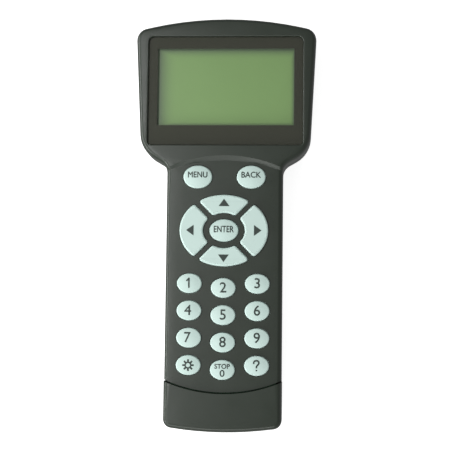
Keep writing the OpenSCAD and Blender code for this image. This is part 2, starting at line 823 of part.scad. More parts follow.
module end_cap() {
    hollow = hollow_rings(cap_z - wall, cap_z - wall);
    color(case_grey) difference() {
        body_loft([for (r = front_rings(cap_z, cap_z, cap_lip)) [r[0], r[1]]]);
        difference() {
            body_loft([for (r = hollow) [r[0], r[1]]]);
            case_corners(head = false) rod(boss_r, boss_z, cap_z);
        }
        linear_extrude(head_z + beyond) above_seam(seam_r + seam_gap);
        case_corners(head = false) rod(screw_d / 2, boss_z - past, head_recess + screw_len + past);
        jack_openings();
    }
}

module case_screws() {
    color(steel) case_corners() screw(head_recess, screw_d - thread_fit, screw_len, screw_head_d, screw_head_h);
}

// Display

module display_window() {
    color(window_tint) translate([0, 0, ledge_z + tape_t]) linear_extrude(window_t) window_form(0);
}

module window_tape() {
    color(tape_black) translate([0, 0, ledge_z]) linear_extrude(tape_t) difference() {
        window_form(0);
        translate([0, view_y]) square([view_w, view_h], center = true);
    }
}

module lcd_gasket() {
    color(tape_black) at_view() difference() {
        plate(frame_w, frame_l, frame_top, roof_z);
        plate(view_w + 2 * ledge_edge, view_h + 2 * ledge_edge, frame_top - past, roof_z + past);
    }
}

module lcd_frame() {
    color(steel) at_view() difference() {
        plate(frame_w, frame_l, lcd_top, frame_top);
        plate(frame_w - 2 * sheet_t, frame_l - 2 * sheet_t, lcd_top - past, glass_top);
        plate(view_w + ledge_edge, view_h + ledge_edge, lcd_top, frame_top + past);
    }
}

module lcd_glass() {
    color(display_green) at_view() plate(glass_w, glass_l, glass_low, glass_top);
}

module lcd_backlight() {
    color(clear_white) at_view() plate(glass_w, glass_l - 4 * strip_w, lcd_top, glass_low);
}

module lcd_contact_strips() {
    color(mat_white) at_view() for (s = [-1, 1]) {
        translate([0, s * (glass_l - strip_w) / 2, 0])
            plate(glass_w - 2 * strip_in, strip_w, lcd_top, glass_low);
    }
}

module lcd_board() {
    color(board_green) difference() {
        at_view() plate(lcd_w, lcd_l, lcd_low, lcd_top);
        case_corners(foot = false) rod(boss_r + board_gap, lcd_low - past, lcd_top + past);
        lcd_corners() rod(pin_d / 2 + pin_room, lcd_low - past, lcd_top + past);
    }
}

module lcd_screws() {
    color(steel) lcd_corners() screw(lcd_low, pin_d - thread_fit, pin_len, pin_head_d, pin_head_h);
}

// Main board and what it carries

function led_spots() =
    concat([[0, menu_y]],
        [for (r = led_rows) for (s = [-1, 1]) [s * col_pitch / 2, num_y - r * num_pitch - mid_drop / 2]]);

module main_board() {
    half = grip_w / 2 - wall - board_gap;
    color(board_green) difference() {
        translate([0, 0, board_low]) linear_extrude(board_t) intersection() {
            polygon(outline(body_shape(), wall + board_gap));
            translate([-half, foot_y]) square([2 * half, board_end - foot_y]);
        }
        case_corners(head = false) rod(boss_r + board_gap, board_low - past, board_top + past);
        board_corners() rod(pin_d / 2 + pin_room, board_low - past, board_top + past);
    }
}

module board_screws() {
    color(steel) board_corners() screw(board_low, pin_d - thread_fit, pin_len, pin_head_d, pin_head_h);
}

// Chips under the board: place and size
function chips() = [
    [[0, ring_y], processor],
    [[driver_x, num_y], driver],
    [[-driver_x, num_y], driver],
    [[line_chip_at.x, seam_y + line_chip_at.y], line_chip]];

module board_chips() {
    color(chip_black) for (c = chips()) {
        translate(c[0]) plate(c[1].x, c[1].y, board_low - c[1].z, board_low);
    }
}

module key_leds() {
    color(clear_white) for (p = led_spots()) {
        translate([p.x, p.y, 0]) plate(led_chip.x, led_chip.y, board_top, board_top + led_chip.z);
    }
}

module buzzer() {
    color(chip_black) translate([-grip_w / 4, menu_y - menu_h, 0]) difference() {
        rod(buzzer_r, board_low - buzzer_h, board_low);
        rod(buzzer_hole_r, board_low - buzzer_h - past, board_low - buzzer_h + buzzer_hole_depth);
    }
}

module clock_cell() {
    color(steel) translate([0, cell_y, 0]) {
        rod(cell_d / 2, cell_low + cell_t / 4, cell_low + cell_t);
        rod(cell_d / 2 - cell_rim, cell_low, cell_low + cell_t / 2);
    }
}

module cell_holder() {
    color(chip_black) translate([0, cell_y, 0]) difference() {
        rod(cell_d / 2 + holder_wall, cell_low + holder_sink, board_low);
        rod(cell_d / 2 + fit, cell_low - past, cell_low + cell_t);
        plate(cell_d / 2, cell_d * 2, cell_low - past, cell_low + cell_t);
    }
}

module ribbon_sockets() {
    slot_low = (socket_h - ribbon_slot) / 2;
    color(mat_white) for (s = [[lcd_socket_y, lcd_low, -1], [board_socket_y, board_low, 1]]) {
        translate([0, s[0], s[1] - socket_h]) difference() {
            plate(ribbon_w + 2 * socket_side, socket_len, 0, socket_h);
            translate([0, s[2] * socket_len / 2, 0])
                plate(ribbon_w + 2 * fit, socket_len, slot_low, slot_low + ribbon_slot);
        }
    }
}

module display_ribbon() {
    drop = (socket_h + ribbon_t) / 2;
    low = [board_socket_y + fit, board_low - drop];
    high = [lcd_socket_y - fit, lcd_low - drop];
    reach = high.x - low.x;
    straight = socket_len / 2 / reach;
    // A ribbon that leaves both sockets level and hangs between them
    line = [for (k = [0:RIBBON_STEPS]) let (
            t = k / RIBBON_STEPS,
            s = min(1, max(0, (t - straight) / (1 - 2 * straight))),
            ease = s * s * (3 - 2 * s))
        [low.x + reach * t, low.y + (high.y - low.y) * ease - ribbon_sag * pow(sin(180 * s), 2)]];
    color(mat_white) rotate([90, 0, 90]) linear_extrude(ribbon_w, center = true) polygon(concat(
        line, [for (k = [RIBBON_STEPS:-1:0]) line[k] + [0, ribbon_t]]));
}

// Modular sockets, open at the bottom end of the case, hanging under the board

module modular_jack(x, w, cavity_w) {
    cavity_top = board_low - jack_roof;
    translate([x, foot_y + jack_sink, 0]) difference() {
        translate([0, jack_len / 2, 0]) plate(w, jack_len, jack_z, board_low);
        plate(cavity_w, 2 * cavity_len, cavity_top - cavity_h, cavity_top);
        plate(latch_w, 2 * cavity_len, jack_z + latch_floor, cavity_top);
        plate(tab_w, 2 * cavity_len, jack_z + tab_floor, cavity_top);
    }
}

// Sprung contact wires, slanting down from the roof of the cavity
module jack_contacts(x, count) {
    for (i = [0:count - 1]) {
        at_x = x + (i - (count - 1) / 2) * wire_pitch;
        translate([at_x, foot_y + jack_sink + wire_in, board_low - jack_roof - fit]) rotate([-wire_lean, 0, 0])
            translate([0, wire_len / 2, 0]) plate(wire_t, wire_len, -wire_t, 0);
    }
}

module mount_jack() { color(chip_black) modular_jack(mount_jack_x, mount_jack_w, mount_cavity_w); }
module mount_jack_contacts() { color(gold) jack_contacts(mount_jack_x, 6); }
module serial_jack() { color(chip_black) modular_jack(serial_jack_x, serial_jack_w, serial_cavity_w); }
module serial_jack_contacts() { color(gold) jack_contacts(serial_jack_x, 4); }

// Reading light on the back

module reading_light_lens() {
    color(clear_white) translate([0, lens_y, 0]) {
        rod(lens_d / 2, lens_recess, wall + lens_rim);
        rod(lens_d / 2 + lens_flange, wall, wall + lens_rim);
    }
}

module reading_light_led() {
    tip = wall + lens_rim + led_gap;
    rim = tip + led_len;
    color(clear_white) translate([0, lens_y, 0]) {
        translate([0, 0, tip + led_d / 2]) sphere(d = led_d);
        rod(led_d / 2, tip + led_d / 2, rim);
        rod(led_d / 2 + led_collar, rim - led_collar_h, rim);
        for (s = [-1, 1]) {
            translate([s * lead_pitch / 2, 0, 0]) plate(lead_t, lead_t, rim - led_collar_h, board_low);
        }
    }
}

rear_shell();
front_shell();
end_cap();
case_screws();
display_window();
window_tape();
lcd_gasket();
lcd_frame();
lcd_glass();
lcd_backlight();
lcd_contact_strips();
lcd_board();
lcd_screws();
keypad_mat();
main_board();
board_screws();
board_chips();
key_leds();
buzzer();
clock_cell();
cell_holder();
ribbon_sockets();
display_ribbon();
mount_jack();
mount_jack_contacts();
serial_jack();
serial_jack_contacts();
reading_light_led();
reading_light_lens();
key_menu();
key_back();
key_enter();
for (i = [0:len(ARROWS) - 1]) {
    arrow_key(i);
}
for (i = [0:len(NUMBERS) - 1]) {
    number_key(i);
}
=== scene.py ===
"""Looks of a hand controller for a motorised telescope mount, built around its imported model.

Sizes are in millimetres where no unit is named, and MM turns them into Blender's metres.
"""
import json
import logging
import math
from collections.abc import Callable, Iterable, Iterator, Sequence
from contextlib import contextmanager
from dataclasses import dataclass, field
from enum import Enum
from functools import cache, reduce
from typing import Any

import bmesh
import bpy
from mathutils import Euler, Matrix, Vector


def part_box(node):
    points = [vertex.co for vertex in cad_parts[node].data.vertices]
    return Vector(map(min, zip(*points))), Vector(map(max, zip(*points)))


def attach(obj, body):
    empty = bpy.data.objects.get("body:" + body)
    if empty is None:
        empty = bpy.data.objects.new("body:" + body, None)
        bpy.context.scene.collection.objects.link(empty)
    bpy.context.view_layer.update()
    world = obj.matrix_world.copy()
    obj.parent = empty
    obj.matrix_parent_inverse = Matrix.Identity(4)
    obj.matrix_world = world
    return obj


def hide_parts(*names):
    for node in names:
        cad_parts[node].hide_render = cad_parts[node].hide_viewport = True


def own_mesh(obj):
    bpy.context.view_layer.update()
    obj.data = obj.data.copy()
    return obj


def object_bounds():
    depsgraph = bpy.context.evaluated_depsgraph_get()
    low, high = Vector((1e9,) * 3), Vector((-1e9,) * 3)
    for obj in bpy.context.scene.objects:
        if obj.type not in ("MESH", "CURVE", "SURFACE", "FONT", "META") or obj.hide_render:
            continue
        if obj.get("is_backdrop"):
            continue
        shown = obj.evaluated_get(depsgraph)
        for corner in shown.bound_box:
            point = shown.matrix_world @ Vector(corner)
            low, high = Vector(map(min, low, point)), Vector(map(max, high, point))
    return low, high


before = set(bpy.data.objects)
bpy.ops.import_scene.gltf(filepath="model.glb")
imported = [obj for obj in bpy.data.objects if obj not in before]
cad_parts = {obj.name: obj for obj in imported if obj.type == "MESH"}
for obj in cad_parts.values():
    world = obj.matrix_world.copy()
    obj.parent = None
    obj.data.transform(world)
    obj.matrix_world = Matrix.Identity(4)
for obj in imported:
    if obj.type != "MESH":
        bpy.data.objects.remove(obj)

CAD_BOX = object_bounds()
LOG = logging.getLogger("hand_controller")
CASE = "case"
MM = 0.001

# Points that are merged are this close, and heights that count as one are this close
MERGE = 0.002 * MM
NEAR = 0.01 * MM

# Least rise of the normal of a level face, and least angle in radians at a sharp edge
LEVEL = 0.999
SHARP = 1.0

Piece = bpy.types.Object
Colour = tuple[float, float, float, float]
Pair = tuple[float, float]
Triple = tuple[float, float, float]
Ring = Pair
Line = tuple[Pair, ...]

WHITE: Colour = (1.0, 1.0, 1.0, 1.0)


def srgb(red: int, green: int, blue: int) -> Colour:
    """Turn screen values of 0 to 255 into the linear colour that shaders use.

    Args:
        red: the red value.
        green: the green value.
        blue: the blue value.

    Returns:
        The linear colour, with full alpha.
    """
    def channel(value: int) -> float:
        """Undo the screen's curve on one channel."""
        part = value / 255
        return part / 12.92 if part <= 0.04045 else ((part + 0.055) / 1.055) ** 2.4

    return (channel(red), channel(green), channel(blue), 1.0)


def shade(colour: Colour, factor: float) -> Colour:
    """Darken or lighten a linear colour by a factor."""
    return (colour[0] * factor, colour[1] * factor, colour[2] * factor, 1.0)


# Shader maths


def summed(operation: str, turned: bool = False) -> Callable[..., "Socket"]:
    """Make a method of Socket that adds a Math node.

    Args:
        operation: Blender's name for the sum.
        turned: whether the other value comes first.

    Returns:
        The method, which takes the other value of the sum if it has one.
    """
    def method(own: "Socket", *others: "Socket | float") -> "Socket":
        """Add the node and hand out its result."""
        values = (*others, own) if turned else (own, *others)
        return own.graph.node("ShaderNodeMath", {"operation": operation}, dict(enumerate(values)))

    return method


class Socket:
    """A shader output that takes part in Python sums. Each sum adds a Math node."""

    def __init__(self, graph: "Graph", link: bpy.types.NodeSocket) -> None:
        """Wrap one output of a node in graph."""
        self.graph = graph
        self.link = link

    __add__ = __radd__ = summed("ADD")
    __sub__ = summed("SUBTRACT")
    __rsub__ = summed("SUBTRACT", turned=True)
    __mul__ = __rmul__ = summed("MULTIPLY")
    __truediv__ = summed("DIVIDE")
    __rtruediv__ = summed("DIVIDE", turned=True)
    __pow__ = summed("POWER")
    __rpow__ = summed("POWER", turned=True)
    above = summed("GREATER_THAN")
    fraction = summed("FRACT")
    size = summed("ABSOLUTE")
    highest = summed("MAXIMUM")
    lowest = summed("MINIMUM")

    def fold(self) -> "Socket":
        """How far the value lies from halfway between two whole numbers."""
        return (self.fraction() - 0.5).size()


class Graph:
    """The node tree of one material."""

    def __init__(self, name: str) -> None:
        """Start an empty material.

        Args:
            name: the material's name.
        """
        self.material = bpy.data.materials.new(name)
        self.material.use_nodes = True
        self.tree = self.material.node_tree
        self.tree.nodes.clear()

    def node(
        self,
        kind: str,
        settings: dict[str, Any] | None = None,
        inputs: dict[str | int, Any] | None = None,
        output: str | int = 0,
    ) -> Socket:
        """Add a node.

        Args:
            kind: Blender's name for the type of node.
            settings: properties of the node, set before its sockets.
            inputs: value or link of each socket, by name or number.
            output: the output that is handed on.

        Returns:
            That output, wrapped.
        """
        made = self.tree.nodes.new(kind)
        for key, value in (settings or {}).items():
            setattr(made, key, value)
        for key, value in (inputs or {}).items():
            if isinstance(value, Socket):
                self.tree.links.new(value.link, made.inputs[key])
            else:
                made.inputs[key].default_value = value
        return Socket(self, made.outputs[output])

    @property
    def place(self) -> Socket:
        """Object coordinates, in metres."""
        return self.node("ShaderNodeTexCoord", output="Object")

    def axes(self) -> list[Socket]:
        """The three object coordinates, in millimetres."""
        scaled = self.node("ShaderNodeVectorMath", {"operation": "SCALE"}, {0: self.place, "Scale": 1 / MM})
        return [self.node("ShaderNodeSeparateXYZ", None, {0: scaled}, axis) for axis in range(3)]

    def noise(self, grain: float, detail: float = 2.0, stretch: Sequence[float] = (1, 1, 1)) -> Socket:
        """Soft noise from 0 to 1.

        Args:
            grain: size of a patch in millimetres.
            detail: number of finer layers.
            stretch: how much each axis is squeezed, for noise that runs along a surface.

        Returns:
            The noise value.
        """
        where = self.node("ShaderNodeMapping", None, {"Vector": self.place, "Scale": tuple(stretch)})
        inputs = {"Vector": where, "Scale": 1 / (grain * MM), "Detail": detail, "Roughness": 0.55}
        return self.node("ShaderNodeTexNoise", {"noise_dimensions": "3D"}, inputs)

    def specks(self, spacing: float, radius: float) -> Socket:
        """Scatter round dots.

        Args:
            spacing: rough distance between two dots, in millimetres.
            radius: radius of a dot, in millimetres.

        Returns:
            One on a dot, and zero elsewhere.
        """
        inputs = {"Vector": self.place, "Scale": 1 / (spacing * MM)}
        distance = self.node("ShaderNodeTexVoronoi", {"feature": "F1"}, inputs, "Distance")
        return 1 - distance.above(radius / spacing)

    def rise(self, value: Socket, low: float, high: float) -> Socket:
        """Stretch the part of a value between low and high to between 0 and 1."""
        return self.node("ShaderNodeMapRange", None, {"Value": value, "From Min": low, "From Max": high})

    def mix(self, factor: Socket, first: "Colour | Socket", second: "Colour | Socket") -> Socket:
        """Blend two colours by a factor from 0 to 1."""
        return self.node("ShaderNodeMix", {"data_type": "RGBA"}, {0: factor, 6: first, 7: second}, 2)

    def bump(self, height: Socket, depth: float, strength: float = 1.0) -> Socket:
        """Normals of a relief whose height of one is depth millimetres."""
        inputs = {"Height": height, "Distance": depth * MM, "Strength": strength}
        return self.node("ShaderNodeBump", None, inputs)

    def principled(self, **inputs: Any) -> Socket:
        """A principled shader; an underscore in a name stands for a space."""
        named = {key.replace("_", " "): value for key, value in inputs.items()}
        return self.node("ShaderNodeBsdfPrincipled", None, named)

    def output(self, shader: Socket) -> bpy.types.Material:
        """Send a shader to the surface.

        Args:
            shader: the finished shader.

        Returns:
            The material.
        """
        surface = self.tree.nodes.new("ShaderNodeOutputMaterial").inputs["Surface"]
        self.tree.links.new(shader.link, surface)
        return self.material


# Finishes


@dataclass(frozen=True)
class Recipe:
    """A material's name and colour. Each kind of material lays out its own shader."""

    name: str
    colour: Colour

    def material(self) -> bpy.types.Material:
        """Build the material."""
        graph = Graph(self.name)
        return graph.output(self.shader(graph))

    def shader(self, graph: Graph) -> Socket:
        """Lay out the shader's nodes in graph."""
        raise NotImplementedError


@dataclass(frozen=True)
class Skin(Recipe):
    """A solid material with a clouded tone, specks and a fine grain.

    The cloud has the size of a patch and its darkest and lightest factor. The grain has a size, a number of
    finer layers, a depth and a share in the roughness. The specks have a spacing, a radius and a strength.
    """

    rough: float = 0.5
    cloud: Triple = (1.0, 1.0, 1.0)
    grain: float = 1.0
    finer: float = 3
    depth: float = 0.004
    uneven: float = 0.15
    specks: Triple | None = None
    speck_colour: Colour = WHITE
    rub: float = 0.0
    rub_size: float = 9
    gloss: float = 0.5
    velvet: float = 0.0
    glow: float = 0.0

    def shader(self, graph: Graph) -> Socket:
        """Cloud the tone, scatter the specks, raise the grain and rub some places smooth.

        Args:
            graph: the node tree to lay it out in.

        Returns:
            The finished shader.
        """
        size, dark, light = self.cloud
        base = graph.mix(graph.noise(size, 3), shade(self.colour, dark), shade(self.colour, light))
        if self.specks:
            spacing, radius, strength = self.specks
            base = graph.mix(graph.specks(spacing, radius) * strength, base, self.speck_colour)
        grain = graph.noise(self.grain, self.finer)
        rough = self.rough + self.uneven * grain
        if self.rub:
            rough -= self.rub * graph.rise(graph.noise(self.rub_size, 4), 0.35, 0.75)
        return graph.principled(
            Base_Color=base,
            Roughness=rough,
            Specular_IOR_Level=self.gloss,
            Sheen_Weight=self.velvet,
            Emission_Color=WHITE,
            Emission_Strength=self.glow,
            Normal=graph.bump(grain, self.depth),
        )


@dataclass(frozen=True)
class MouldedPlastic(Skin):
    """Plastic from a spark-eroded mould: a fine even grain, a cloudy tone and places rubbed smooth."""

    cloud: Triple = (22, 0.92, 1.08)
    grain: float = 0.32
    finer: float = 1.5
    depth: float = 0.012
    uneven: float = 0.05
    specks: Triple | None = (6.5, 0.07, 0.25)
    speck_colour: Colour = srgb(190, 196, 188)
    rub: float = 0.06


@dataclass(frozen=True)
class SiliconeRubber(Skin):
    """Milky moulded silicone with a velvet skin and a little dust."""

    rough: float = 0.55
    cloud: Triple = (4.5, 0.965, 1.03)
    grain: float = 0.22
    finer: float = 2
    depth: float = 0.006
    uneven: float = 0.08
    specks: Triple | None = (2.6, 0.05, 0.35)
    speck_colour: Colour = srgb(128, 138, 132)
    gloss: float = 0.4
    velvet: float = 0.12


@dataclass(frozen=True)
class ClearAcrylic(Recipe):
    """Clear moulded sheet that reflects by its angle, with faint wipe marks and dust."""

    index: float = 1.38
    rough: float = 0.06
    least: float = 0.0
    wipe: float = 1.6
    wipe_stretch: Triple = (1.0, 0.12, 1.0)
    wave: float = 14
    dust: Pair = (5.5, 0.06)
    dust_colour: Colour = srgb(210, 212, 205)

    def shader(self, graph: Graph) -> Socket:
        """Mix gloss with the view through the sheet, by Schlick's law of the angle.

        Args:
            graph: the node tree to lay it out in.

        Returns:
            The finished shader.
        """
        wipes = graph.noise(self.wipe, 3, self.wipe_stretch)
        dust = graph.specks(*self.dust)
        gloss = graph.principled(
            Base_Color=graph.mix(dust, shade(self.colour, 0.8), self.dust_colour),
            Roughness=self.rough + 0.06 * wipes,
            IOR=1.49,
            Metallic=1.0 - dust,
            Normal=graph.bump(graph.noise(self.wave, 1), 0.02, 0.4),
        )
        through = graph.node("ShaderNodeBsdfTransparent", None, {"Color": self.colour})
        slant = graph.node("ShaderNodeLayerWeight", None, {"Blend": 0.5}, "Facing")
        straight = ((self.index - 1) / (self.index + 1)) ** 2
        angle = straight + (1 - straight) * slant ** 5
        share = angle.highest(self.least).highest(dust * 0.5).lowest(1.0)
        return graph.node("ShaderNodeMixShader", None, {0: share, 1: through, 2: gloss})


@dataclass(frozen=True)
class DisplayCell(Recipe):
    """Reflective display glass with its grid of dots at rest, with painted shadow along its edges, widest
    at the left and top.

    Each band has the number of an axis, the place of an edge along it, and how far the painted shadow
    reaches in from there.
    """

    # colour of the painted shadow along the edges
    dull: Colour
    bands: tuple[tuple[int, float, float], ...]
    dot: Pair = (0.5, 0.56)
    line: float = 0.12
    cloud_size: float = 30
    skin: float = 0.3

    def shader(self, graph: Graph) -> Socket:
        """Draw the grid on a clouded tone, with painted shadow towards the edges.

        Args:
            graph: the node tree to lay it out in.

        Returns:
            The finished shader.
        """
        axes = graph.axes()
        lines = [(axis / pitch).fold().above(0.5 - self.line) for axis, pitch in zip(axes, self.dot)]
        grid = lines[0].highest(lines[1])
        cloud = graph.noise(self.cloud_size, 2)
        base = graph.mix(cloud, shade(self.colour, 0.96), shade(self.colour, 1.05))
        base = graph.mix(grid * 0.06, base, shade(self.colour, 0.55))
        return graph.principled(
            # painted shadow at the edges, mixed into the base colour
            Base_Color=graph.mix(self._dullness(axes), base, self.dull),
            Roughness=0.32 + 0.08 * graph.noise(self.skin, 1),
            Specular_IOR_Level=0.35,
            Normal=graph.bump(grid, 0.003),
        )

    def _dullness(self, axes: Sequence[Socket]) -> Socket:
        """Work out how much painted shadow falls on the cell near its edges.

        Args:
            axes: the object coordinates, in millimetres.

        Returns:
            From 0 in the middle to 1 at an edge.
        """
        depths = [(axes[axis] - place) / reach for axis, place, reach in self.bands]
        fades = [1 - depth.highest(0.0).lowest(1.0) for depth in depths]
        return reduce(Socket.highest, fades) ** 2


@dataclass(frozen=True)
class Metal(Recipe):
    """Plated or rolled metal with fine drawn lines and a few dull marks."""

    rough: float = 0.3
    line: float = 0.9
    drawn: Triple = (1.0, 12.0, 1.0)
    mark: float = 2.4

    def shader(self, graph: Graph) -> Socket:
        """Draw the lines and dull the marks.

        Args:
            graph: the node tree to lay it out in.

        Returns:
            The finished shader.
        """
        lines = graph.noise(self.line, 3, self.drawn)
        marks = graph.rise(graph.noise(self.mark, 4), 0.45, 0.8)
        return graph.principled(
            Base_Color=graph.mix(marks, self.colour, shade(self.colour, 0.72)),
            Metallic=1.0,
            Roughness=self.rough + 0.12 * marks + 0.08 * lines,
            Normal=graph.bump(lines, 0.004),
        )


@dataclass(frozen=True)
class BoardLaminate(Recipe):
    """Green solder resist over tracks, with the weave of the glass cloth under it."""

    pitch: float = 1.27
    weave: float = 0.5
    wander: float = 7
    breaks: float = 6

    def shader(self, graph: Graph) -> Socket:
        """Lay wandering, broken tracks over the weave.

        Args:
            graph: the node tree to lay it out in.

        Returns:
            The finished shader.
        """
        along, up, _ = graph.axes()
        lane = (along / self.pitch + 0.6 * graph.noise(self.wander, 0)).fraction()
        track = lane.above(0.62) * graph.noise(self.breaks, 1).above(0.45)
        weave = (along / self.weave).fold() * (up / self.weave).fold()
        return graph.principled(
            Base_Color=graph.mix(track, self.colour, shade(self.colour, 1.9)),
            Roughness=0.34 + 0.2 * weave,
            Coat_Weight=0.3,
            Normal=graph.bump(track + 0.2 * weave, 0.03),
        )


class Finish(Enum):
    """The finishes of the controller, by what they cover."""

    FRONT = MouldedPlastic("charcoal_front", srgb(44, 52, 43), 0.36)
    BACK = MouldedPlastic("charcoal_back", srgb(40, 47, 39), 0.42, depth=0.016)
    SOCKET = MouldedPlastic("socket_black", srgb(28, 29, 30), 0.4, depth=0.006)
    CHIP = MouldedPlastic("chip_black", srgb(30, 30, 32), 0.55, grain=0.15)
    CARRIER = MouldedPlastic("carrier_white", srgb(214, 213, 204), 0.45, depth=0.006)
    RIBBON = MouldedPlastic("ribbon_film", srgb(206, 196, 170), 0.35, grain=1.0, depth=0.006)
    KEY = SiliconeRubber("key_mint", srgb(206, 229, 222))
    MAT = SiliconeRubber("mat_milk", srgb(200, 208, 204))
    GUIDE = SiliconeRubber("light_guide_milk", srgb(224, 230, 222), 0.3)
    INK = Skin("legend_ink", srgb(46, 58, 53), cloud=(0.8, 0.85, 1.25), grain=0.12, finer=0)
    WINDOW = ClearAcrylic("window_clear", (0.97, 0.98, 0.96, 1.0))
    LENS = ClearAcrylic("lens_clear", (0.92, 0.94, 0.93, 1.0), index=1.5, rough=0.1, least=0.12)
    # the second colour and the bands are the painted shadow along the display's edges
    DISPLAY = DisplayCell("display_green", srgb(148, 182, 121), srgb(106, 122, 102), (
        (0, -33.0, 9.5), (0, 33.2, -2.0), (1, 85.2, -5.0), (1, 47.4, 2.5)))
    FILM = Skin("window_film", srgb(62, 62, 53), 0.6, (1.4, 0.85, 1.15), 1.4, gloss=0.3)
    STEEL = Metal("screw_zinc", (0.62, 0.61, 0.58, 1.0), 0.32)
    SHEET = Metal("frame_sheet", (0.55, 0.56, 0.57, 1.0), 0.36)
    GOLD = Metal("contact_gold", (0.83, 0.6, 0.24, 1.0), 0.22)
    LAMINATE = BoardLaminate("board_green", srgb(24, 78, 44))
    FLOOR = Skin("studio_paper", (0.9, 0.9, 0.9, 1.0), 0.8, (3, 0.99, 1.0), 3, depth=0.0, uneven=0.1,
                 gloss=0.1, glow=0.8)

    @cache
    def material(self) -> bpy.types.Material:
        """The finish's material, built once."""
        return self.value.material()


# Hand tools


class Pick(Enum):
    """What edit mode selects."""

    VERT = "VERT"
    EDGE = "EDGE"
    FACE = "FACE"


def put_down() -> None:
    """Leave edit mode, with nothing selected."""
    if bpy.context.mode != "OBJECT":
        bpy.ops.object.mode_set(mode="OBJECT")
    bpy.ops.object.select_all(action="DESELECT")


def take(piece: Piece) -> None:
    """Make a piece the one selected and active object.

    Args:
        piece: the piece.
    """
    put_down()
    piece.select_set(True)
    bpy.context.view_layer.objects.active = piece


@contextmanager
def editing(piece: Piece, pick: Pick = Pick.FACE) -> Iterator[None]:
    """Go into edit mode, with all of a piece selected at first.

    Args:
        piece: the piece to edit.
        pick: what can be selected.

    Returns:
        A context that leaves edit mode at its end.
    """
    take(piece)
    bpy.ops.object.mode_set(mode="EDIT")
    bpy.ops.mesh.select_mode(type=pick.value)
    bpy.ops.mesh.select_all(action="SELECT")
    yield
    bpy.ops.object.mode_set(mode="OBJECT")


def pick_faces(piece: Piece, wanted: Callable[[Vector, Vector], bool]) -> None:
    """Select faces, in edit mode.

    Args:
        piece: the piece.
        wanted: tells from a face's centre and normal whether it is selected.
    """
    bpy.ops.mesh.select_all(action="DESELECT")
    mesh = bmesh.from_edit_mesh(piece.data)
    for face in mesh.faces:
        if wanted(face.calc_center_median(), face.normal):
            face.select_set(True)
    bmesh.update_edit_mesh(piece.data)


def pick_edges(piece: Piece, wanted: Callable[[bmesh.types.BMEdge], bool]) -> int:
    """Select edges, in edit mode.

    Args:
        piece: the piece.
        wanted: tells whether an edge is selected.

    Returns:
        The number of edges.
    """
    bpy.ops.mesh.select_all(action="DESELECT")
    mesh = bmesh.from_edit_mesh(piece.data)
    chosen = [edge for edge in mesh.edges if wanted(edge)]
    for edge in chosen:
        edge.select_set(True)
    bmesh.update_edit_mesh(piece.data)
    return len(chosen)


def pick_sharp(piece: Piece, wanted: Callable[[Vector], bool]) -> int:
    """Select the sharp edges that have both ends where it is wanted, in edit mode, and count them."""
    return pick_edges(piece, lambda edge: edge.calc_face_angle(0) > SHARP and all(
        wanted(vertex.co) for vertex in edge.verts))


def bevel(size: float, steps: int) -> None:
    """Round the selected edges by a size in millimetres, in edit mode."""
    bpy.ops.mesh.bevel(offset=size * MM, segments=steps, affect="EDGES")


def pull_up(height: float) -> None:
    """Extrude what is selected straight up, in edit mode."""
    bpy.ops.mesh.extrude_region_move(TRANSFORM_OT_translate={"value": (0, 0, height)})


def widen(along_x: float, along_y: float, about: Vector) -> None:
    """Scale what is selected about a point, in edit mode, with its height kept."""
    bpy.ops.transform.resize(value=(along_x, along_y, 1), center_override=about)


def modify(piece: Piece, kind: str, **settings: Any) -> None:
    """Add a modifier and apply it.

    Args:
        piece: the piece.
        kind: Blender's name for the type of modifier.
        settings: properties of the modifier.
    """
    take(piece)
    modifier = piece.modifiers.new(kind.lower(), kind)
    for key, value in settings.items():
        setattr(modifier, key, value)
    bpy.ops.object.modifier_apply(modifier=modifier.name)


def settle(piece: Piece) -> Piece:
    """Put a piece's place, turn and scale into its mesh.

    Args:
        piece: the piece.

    Returns:
        The same piece, now at the origin.
    """
    take(piece)
    bpy.ops.object.transform_apply(location=True, rotation=True, scale=True)
    return piece


def tidy_normals(piece: Piece) -> None:
    """Merge doubled points and turn every face outwards.

    Args:
        piece: the piece.
    """
    with editing(piece, Pick.VERT):
        bpy.ops.mesh.remove_doubles(threshold=MERGE)
        bpy.ops.mesh.normals_make_consistent(inside=False)


def smooth(piece: Piece, angle: float = 35) -> None:
    """Shade a piece smooth, with its flat faces kept flat.

    Args:
        piece: the piece.
        angle: widest angle between faces that is shaded smooth, in degrees.
    """
    take(piece)
    bpy.ops.object.shade_smooth_by_angle(angle=math.radians(angle))
    modify(piece, "WEIGHTED_NORMAL", keep_sharp=True, weight=80)


def added(name: str, data: bpy.types.ID) -> Piece:
    """Add an object to the scene.

    Args:
        name: the object's name.
        data: its mesh, light or camera.

    Returns:
        The object.
    """
    made = bpy.data.objects.new(name, data)
    bpy.context.scene.collection.objects.link(made)
    return made


def copy_of(node: str) -> Piece:
    """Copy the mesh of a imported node.

    Args:
        node: the node.

    Returns:
        A new piece, with doubled points merged.
    """
    piece = added(node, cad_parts[node].data.copy())
    take(piece)
    bpy.ops.mesh.customdata_custom_splitnormals_clear()
    with editing(piece, Pick.VERT):
        bpy.ops.mesh.remove_doubles(threshold=MERGE)
    return piece


def twin(piece: Piece, step: Vector) -> Piece:
    """Copy a piece.

    Args:
        piece: the piece.
        step: how far the copy is moved, in metres.

    Returns:
        The copy, with its own mesh.
    """
    take(piece)
    bpy.ops.object.duplicate(linked=False)
    made = bpy.context.object
    bpy.ops.transform.translate(value=step)
    return settle(made)


def joined(pieces: Sequence[Piece]) -> Piece:
    """Join pieces into one.

    Args:
        pieces: the pieces, of which the first takes in the others.

    Returns:
        The joined piece.
    """
    take(pieces[0])
    for piece in pieces[1:]:
        piece.select_set(True)
    bpy.ops.object.join()
    return bpy.context.object


def middle_of(points: Iterable[Vector], level: float = 0.0) -> Vector:
    """Middle of the box round some points, seen from above, at a level."""
    xs, ys = zip(*(point.xy for point in points))
    return Vector(((min(xs) + max(xs)) / 2, (min(ys) + max(ys)) / 2, level))


